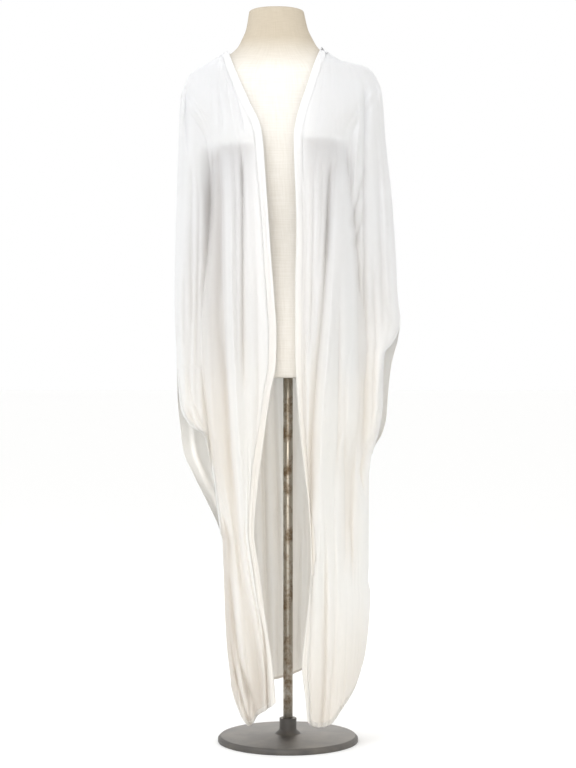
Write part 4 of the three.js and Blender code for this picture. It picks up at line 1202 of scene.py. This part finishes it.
steel, tree, shader = new_material("worn_drawn_steel")
place = add_node(tree, "TexCoord").outputs["Object"]
spread = {"Vector": place, "Scale": 1 / (RUST_PATCH * MM), "Detail": 6.0, "Roughness": 0.65}
patch = add_node(tree, "TexNoise", inputs=spread).outputs["Fac"]
rust = add_node(tree, "ValToRGB", inputs={"Fac": patch})
for stop, at, colour in zip(rust.color_ramp.elements, (0.46, 0.62), (BARE_STEEL, OLD_RUST)):
    stop.position, stop.color = at, linear(colour)
rough = {"From Min": 0.42, "From Max": 0.62, "To Min": 0.3, "To Max": 0.62}
dull = add_node(tree, "MapRange", inputs={"Value": patch, **rough}).outputs["Result"]
drawn = add_node(tree, "Mapping", inputs={"Vector": place, "Scale": (1, 1, 0.03)}).outputs["Vector"]
lines = add_node(tree, "TexNoise", inputs={"Vector": drawn, "Scale": 1 / (DRAW_LINE * MM)}).outputs["Fac"]
relief = add_node(tree, "Bump", inputs={"Height": lines, "Strength": 0.5, "Distance": 0.05 * MM})
fill(shader, {"Base Color": rust.outputs["Color"], "Roughness": dull, "Metallic": 1.0})
fill(shader, {"Normal": relief.outputs["Normal"]})
pole.data.materials.append(steel)

iron, tree, shader = new_material("painted_cast_iron")
place = add_node(tree, "TexCoord").outputs["Object"]
pits = {"Vector": place, "Scale": 1 / (CAST_GRAIN * MM), "Detail": 4.0}
grain = add_node(tree, "TexNoise", inputs=pits).outputs["Fac"]
worn = add_node(tree, "TexNoise", inputs={"Vector": place, "Scale": 22.0, "Detail": 5.0}).outputs["Fac"]
paint = add_node(tree, "ValToRGB", inputs={"Fac": worn})
for stop, at, colour in zip(paint.color_ramp.elements, (0.4, 0.7), (PAINT, THIN_PAINT)):
    stop.position, stop.color = at, linear(colour)
relief = add_node(tree, "Bump", inputs={"Height": grain, "Strength": 0.6, "Distance": 0.25 * MM})
fill(shader, {"Base Color": paint.outputs["Color"], "Roughness": 0.5, "Normal": relief.outputs["Normal"]})
foot.data.materials.append(iron)
looks = {
    "form_pole": steel, "form_base": iron, "form_torso": linen, "front_right": crepe,
    "front_left": crepe, "back_panel": crepe, "neck_band": crepe_band,
}
for name, material in looks.items():
    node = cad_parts[name]
    node.data.materials.clear()
    node.data.materials.append(material)
print("the frame's solids wear", len(set(looks.values())), "of the materials")

# %% [markdown]
# White cloth needs soft light. An area light over the wearer's right shoulder brightens what looks
# up, so the chest glows and the folds fall into a light shade. A broad warm one before the coat
# lifts its lower half, and one behind it shines through the thin cloth. A white room fills the rest.
# The floor is plain and nearly white.

# %% Floor and light
FLOOR_SIZE = 400  # m, wide enough to meet the room's white
COOL_LIGHT, WARM_LIGHT = "#eaf2ff", "#fff8ee"

bpy.ops.object.select_all(action="DESELECT")
bpy.ops.mesh.primitive_plane_add(size=FLOOR_SIZE, location=(0, 0, 0))
floor = bpy.context.object
floor.name = "pale_floor"
material, tree, shader = new_material("pale_floor_paint")
fill(shader, {"Base Color": linear("#fefefd"), "Roughness": 0.9})
floor.data.materials.append(material)

world = bpy.data.worlds.new("studio")
world.use_nodes = True
fill(world.node_tree.nodes["Background"], {"Color": linear("#ffffff"), "Strength": 1.0})
bpy.context.scene.world = world


def soft_light(name, place, aim, size, power, tone):
    """A square area light that looks from its place at a point. Size in metres, power in watts."""
    data = bpy.data.lights.new(name, "AREA")
    data.size = size
    data.energy = power
    data.color = linear(tone)[:3]
    lamp = bpy.data.objects.new(name, data)
    lamp.location = place
    towards = np.array(aim, float) - np.array(place, float)
    away = math.hypot(towards[0], towards[1])
    lamp.rotation_euler = (math.atan2(away, -towards[2]), 0, math.atan2(-towards[0], towards[1]))
    bpy.context.collection.objects.link(lamp)


soft_light("over_the_shoulder", (-1.1, -1.8, 3.3), (0, 0, 1.0), 1.0, 23, COOL_LIGHT)
soft_light("before_the_coat", (-0.3, -3.2, 1.0), (0, 0, 0.8), 1.6, 23, WARM_LIGHT)
soft_light("behind_the_coat", (0.2, 3.0, 1.2), (0, 0, 0.6), 1.6, 16, WARM_LIGHT)
bpy.context.scene.view_settings.view_transform = "Standard"

# %% [markdown]
# The last step ties each piece to the frame: which body it moves with, which solid it stands for,
# and what size each sheet is, as the area of cloth it prints. The flat sizes are those of what
# shows of each piece, laid out flat.

# %% Tie the pieces to the frame
stands_for = {
    panels["right"]: ("front_right", "crepe"), panels["left"]: ("front_left", "crepe"),
    panels["back"]: ("back_panel", "crepe"), band: ("neck_band", "crepe_band"),
    form_piece: ("form_torso", "linen"),
    pole: ("form_pole", "pole_steel"), foot: ("form_base", "base_iron"),
}
for piece, (node, slot) in stands_for.items():
    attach(piece, "root")
    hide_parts(node)
for piece in hems:
    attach(piece, "root")


def cloth_area(piece):
    return sum(face.area for face in piece.data.polygons) / 2


for piece in (*panels.values(), band, *hems):
    print(piece.name, "cloth", round(cloth_area(piece), 4), "square metres")
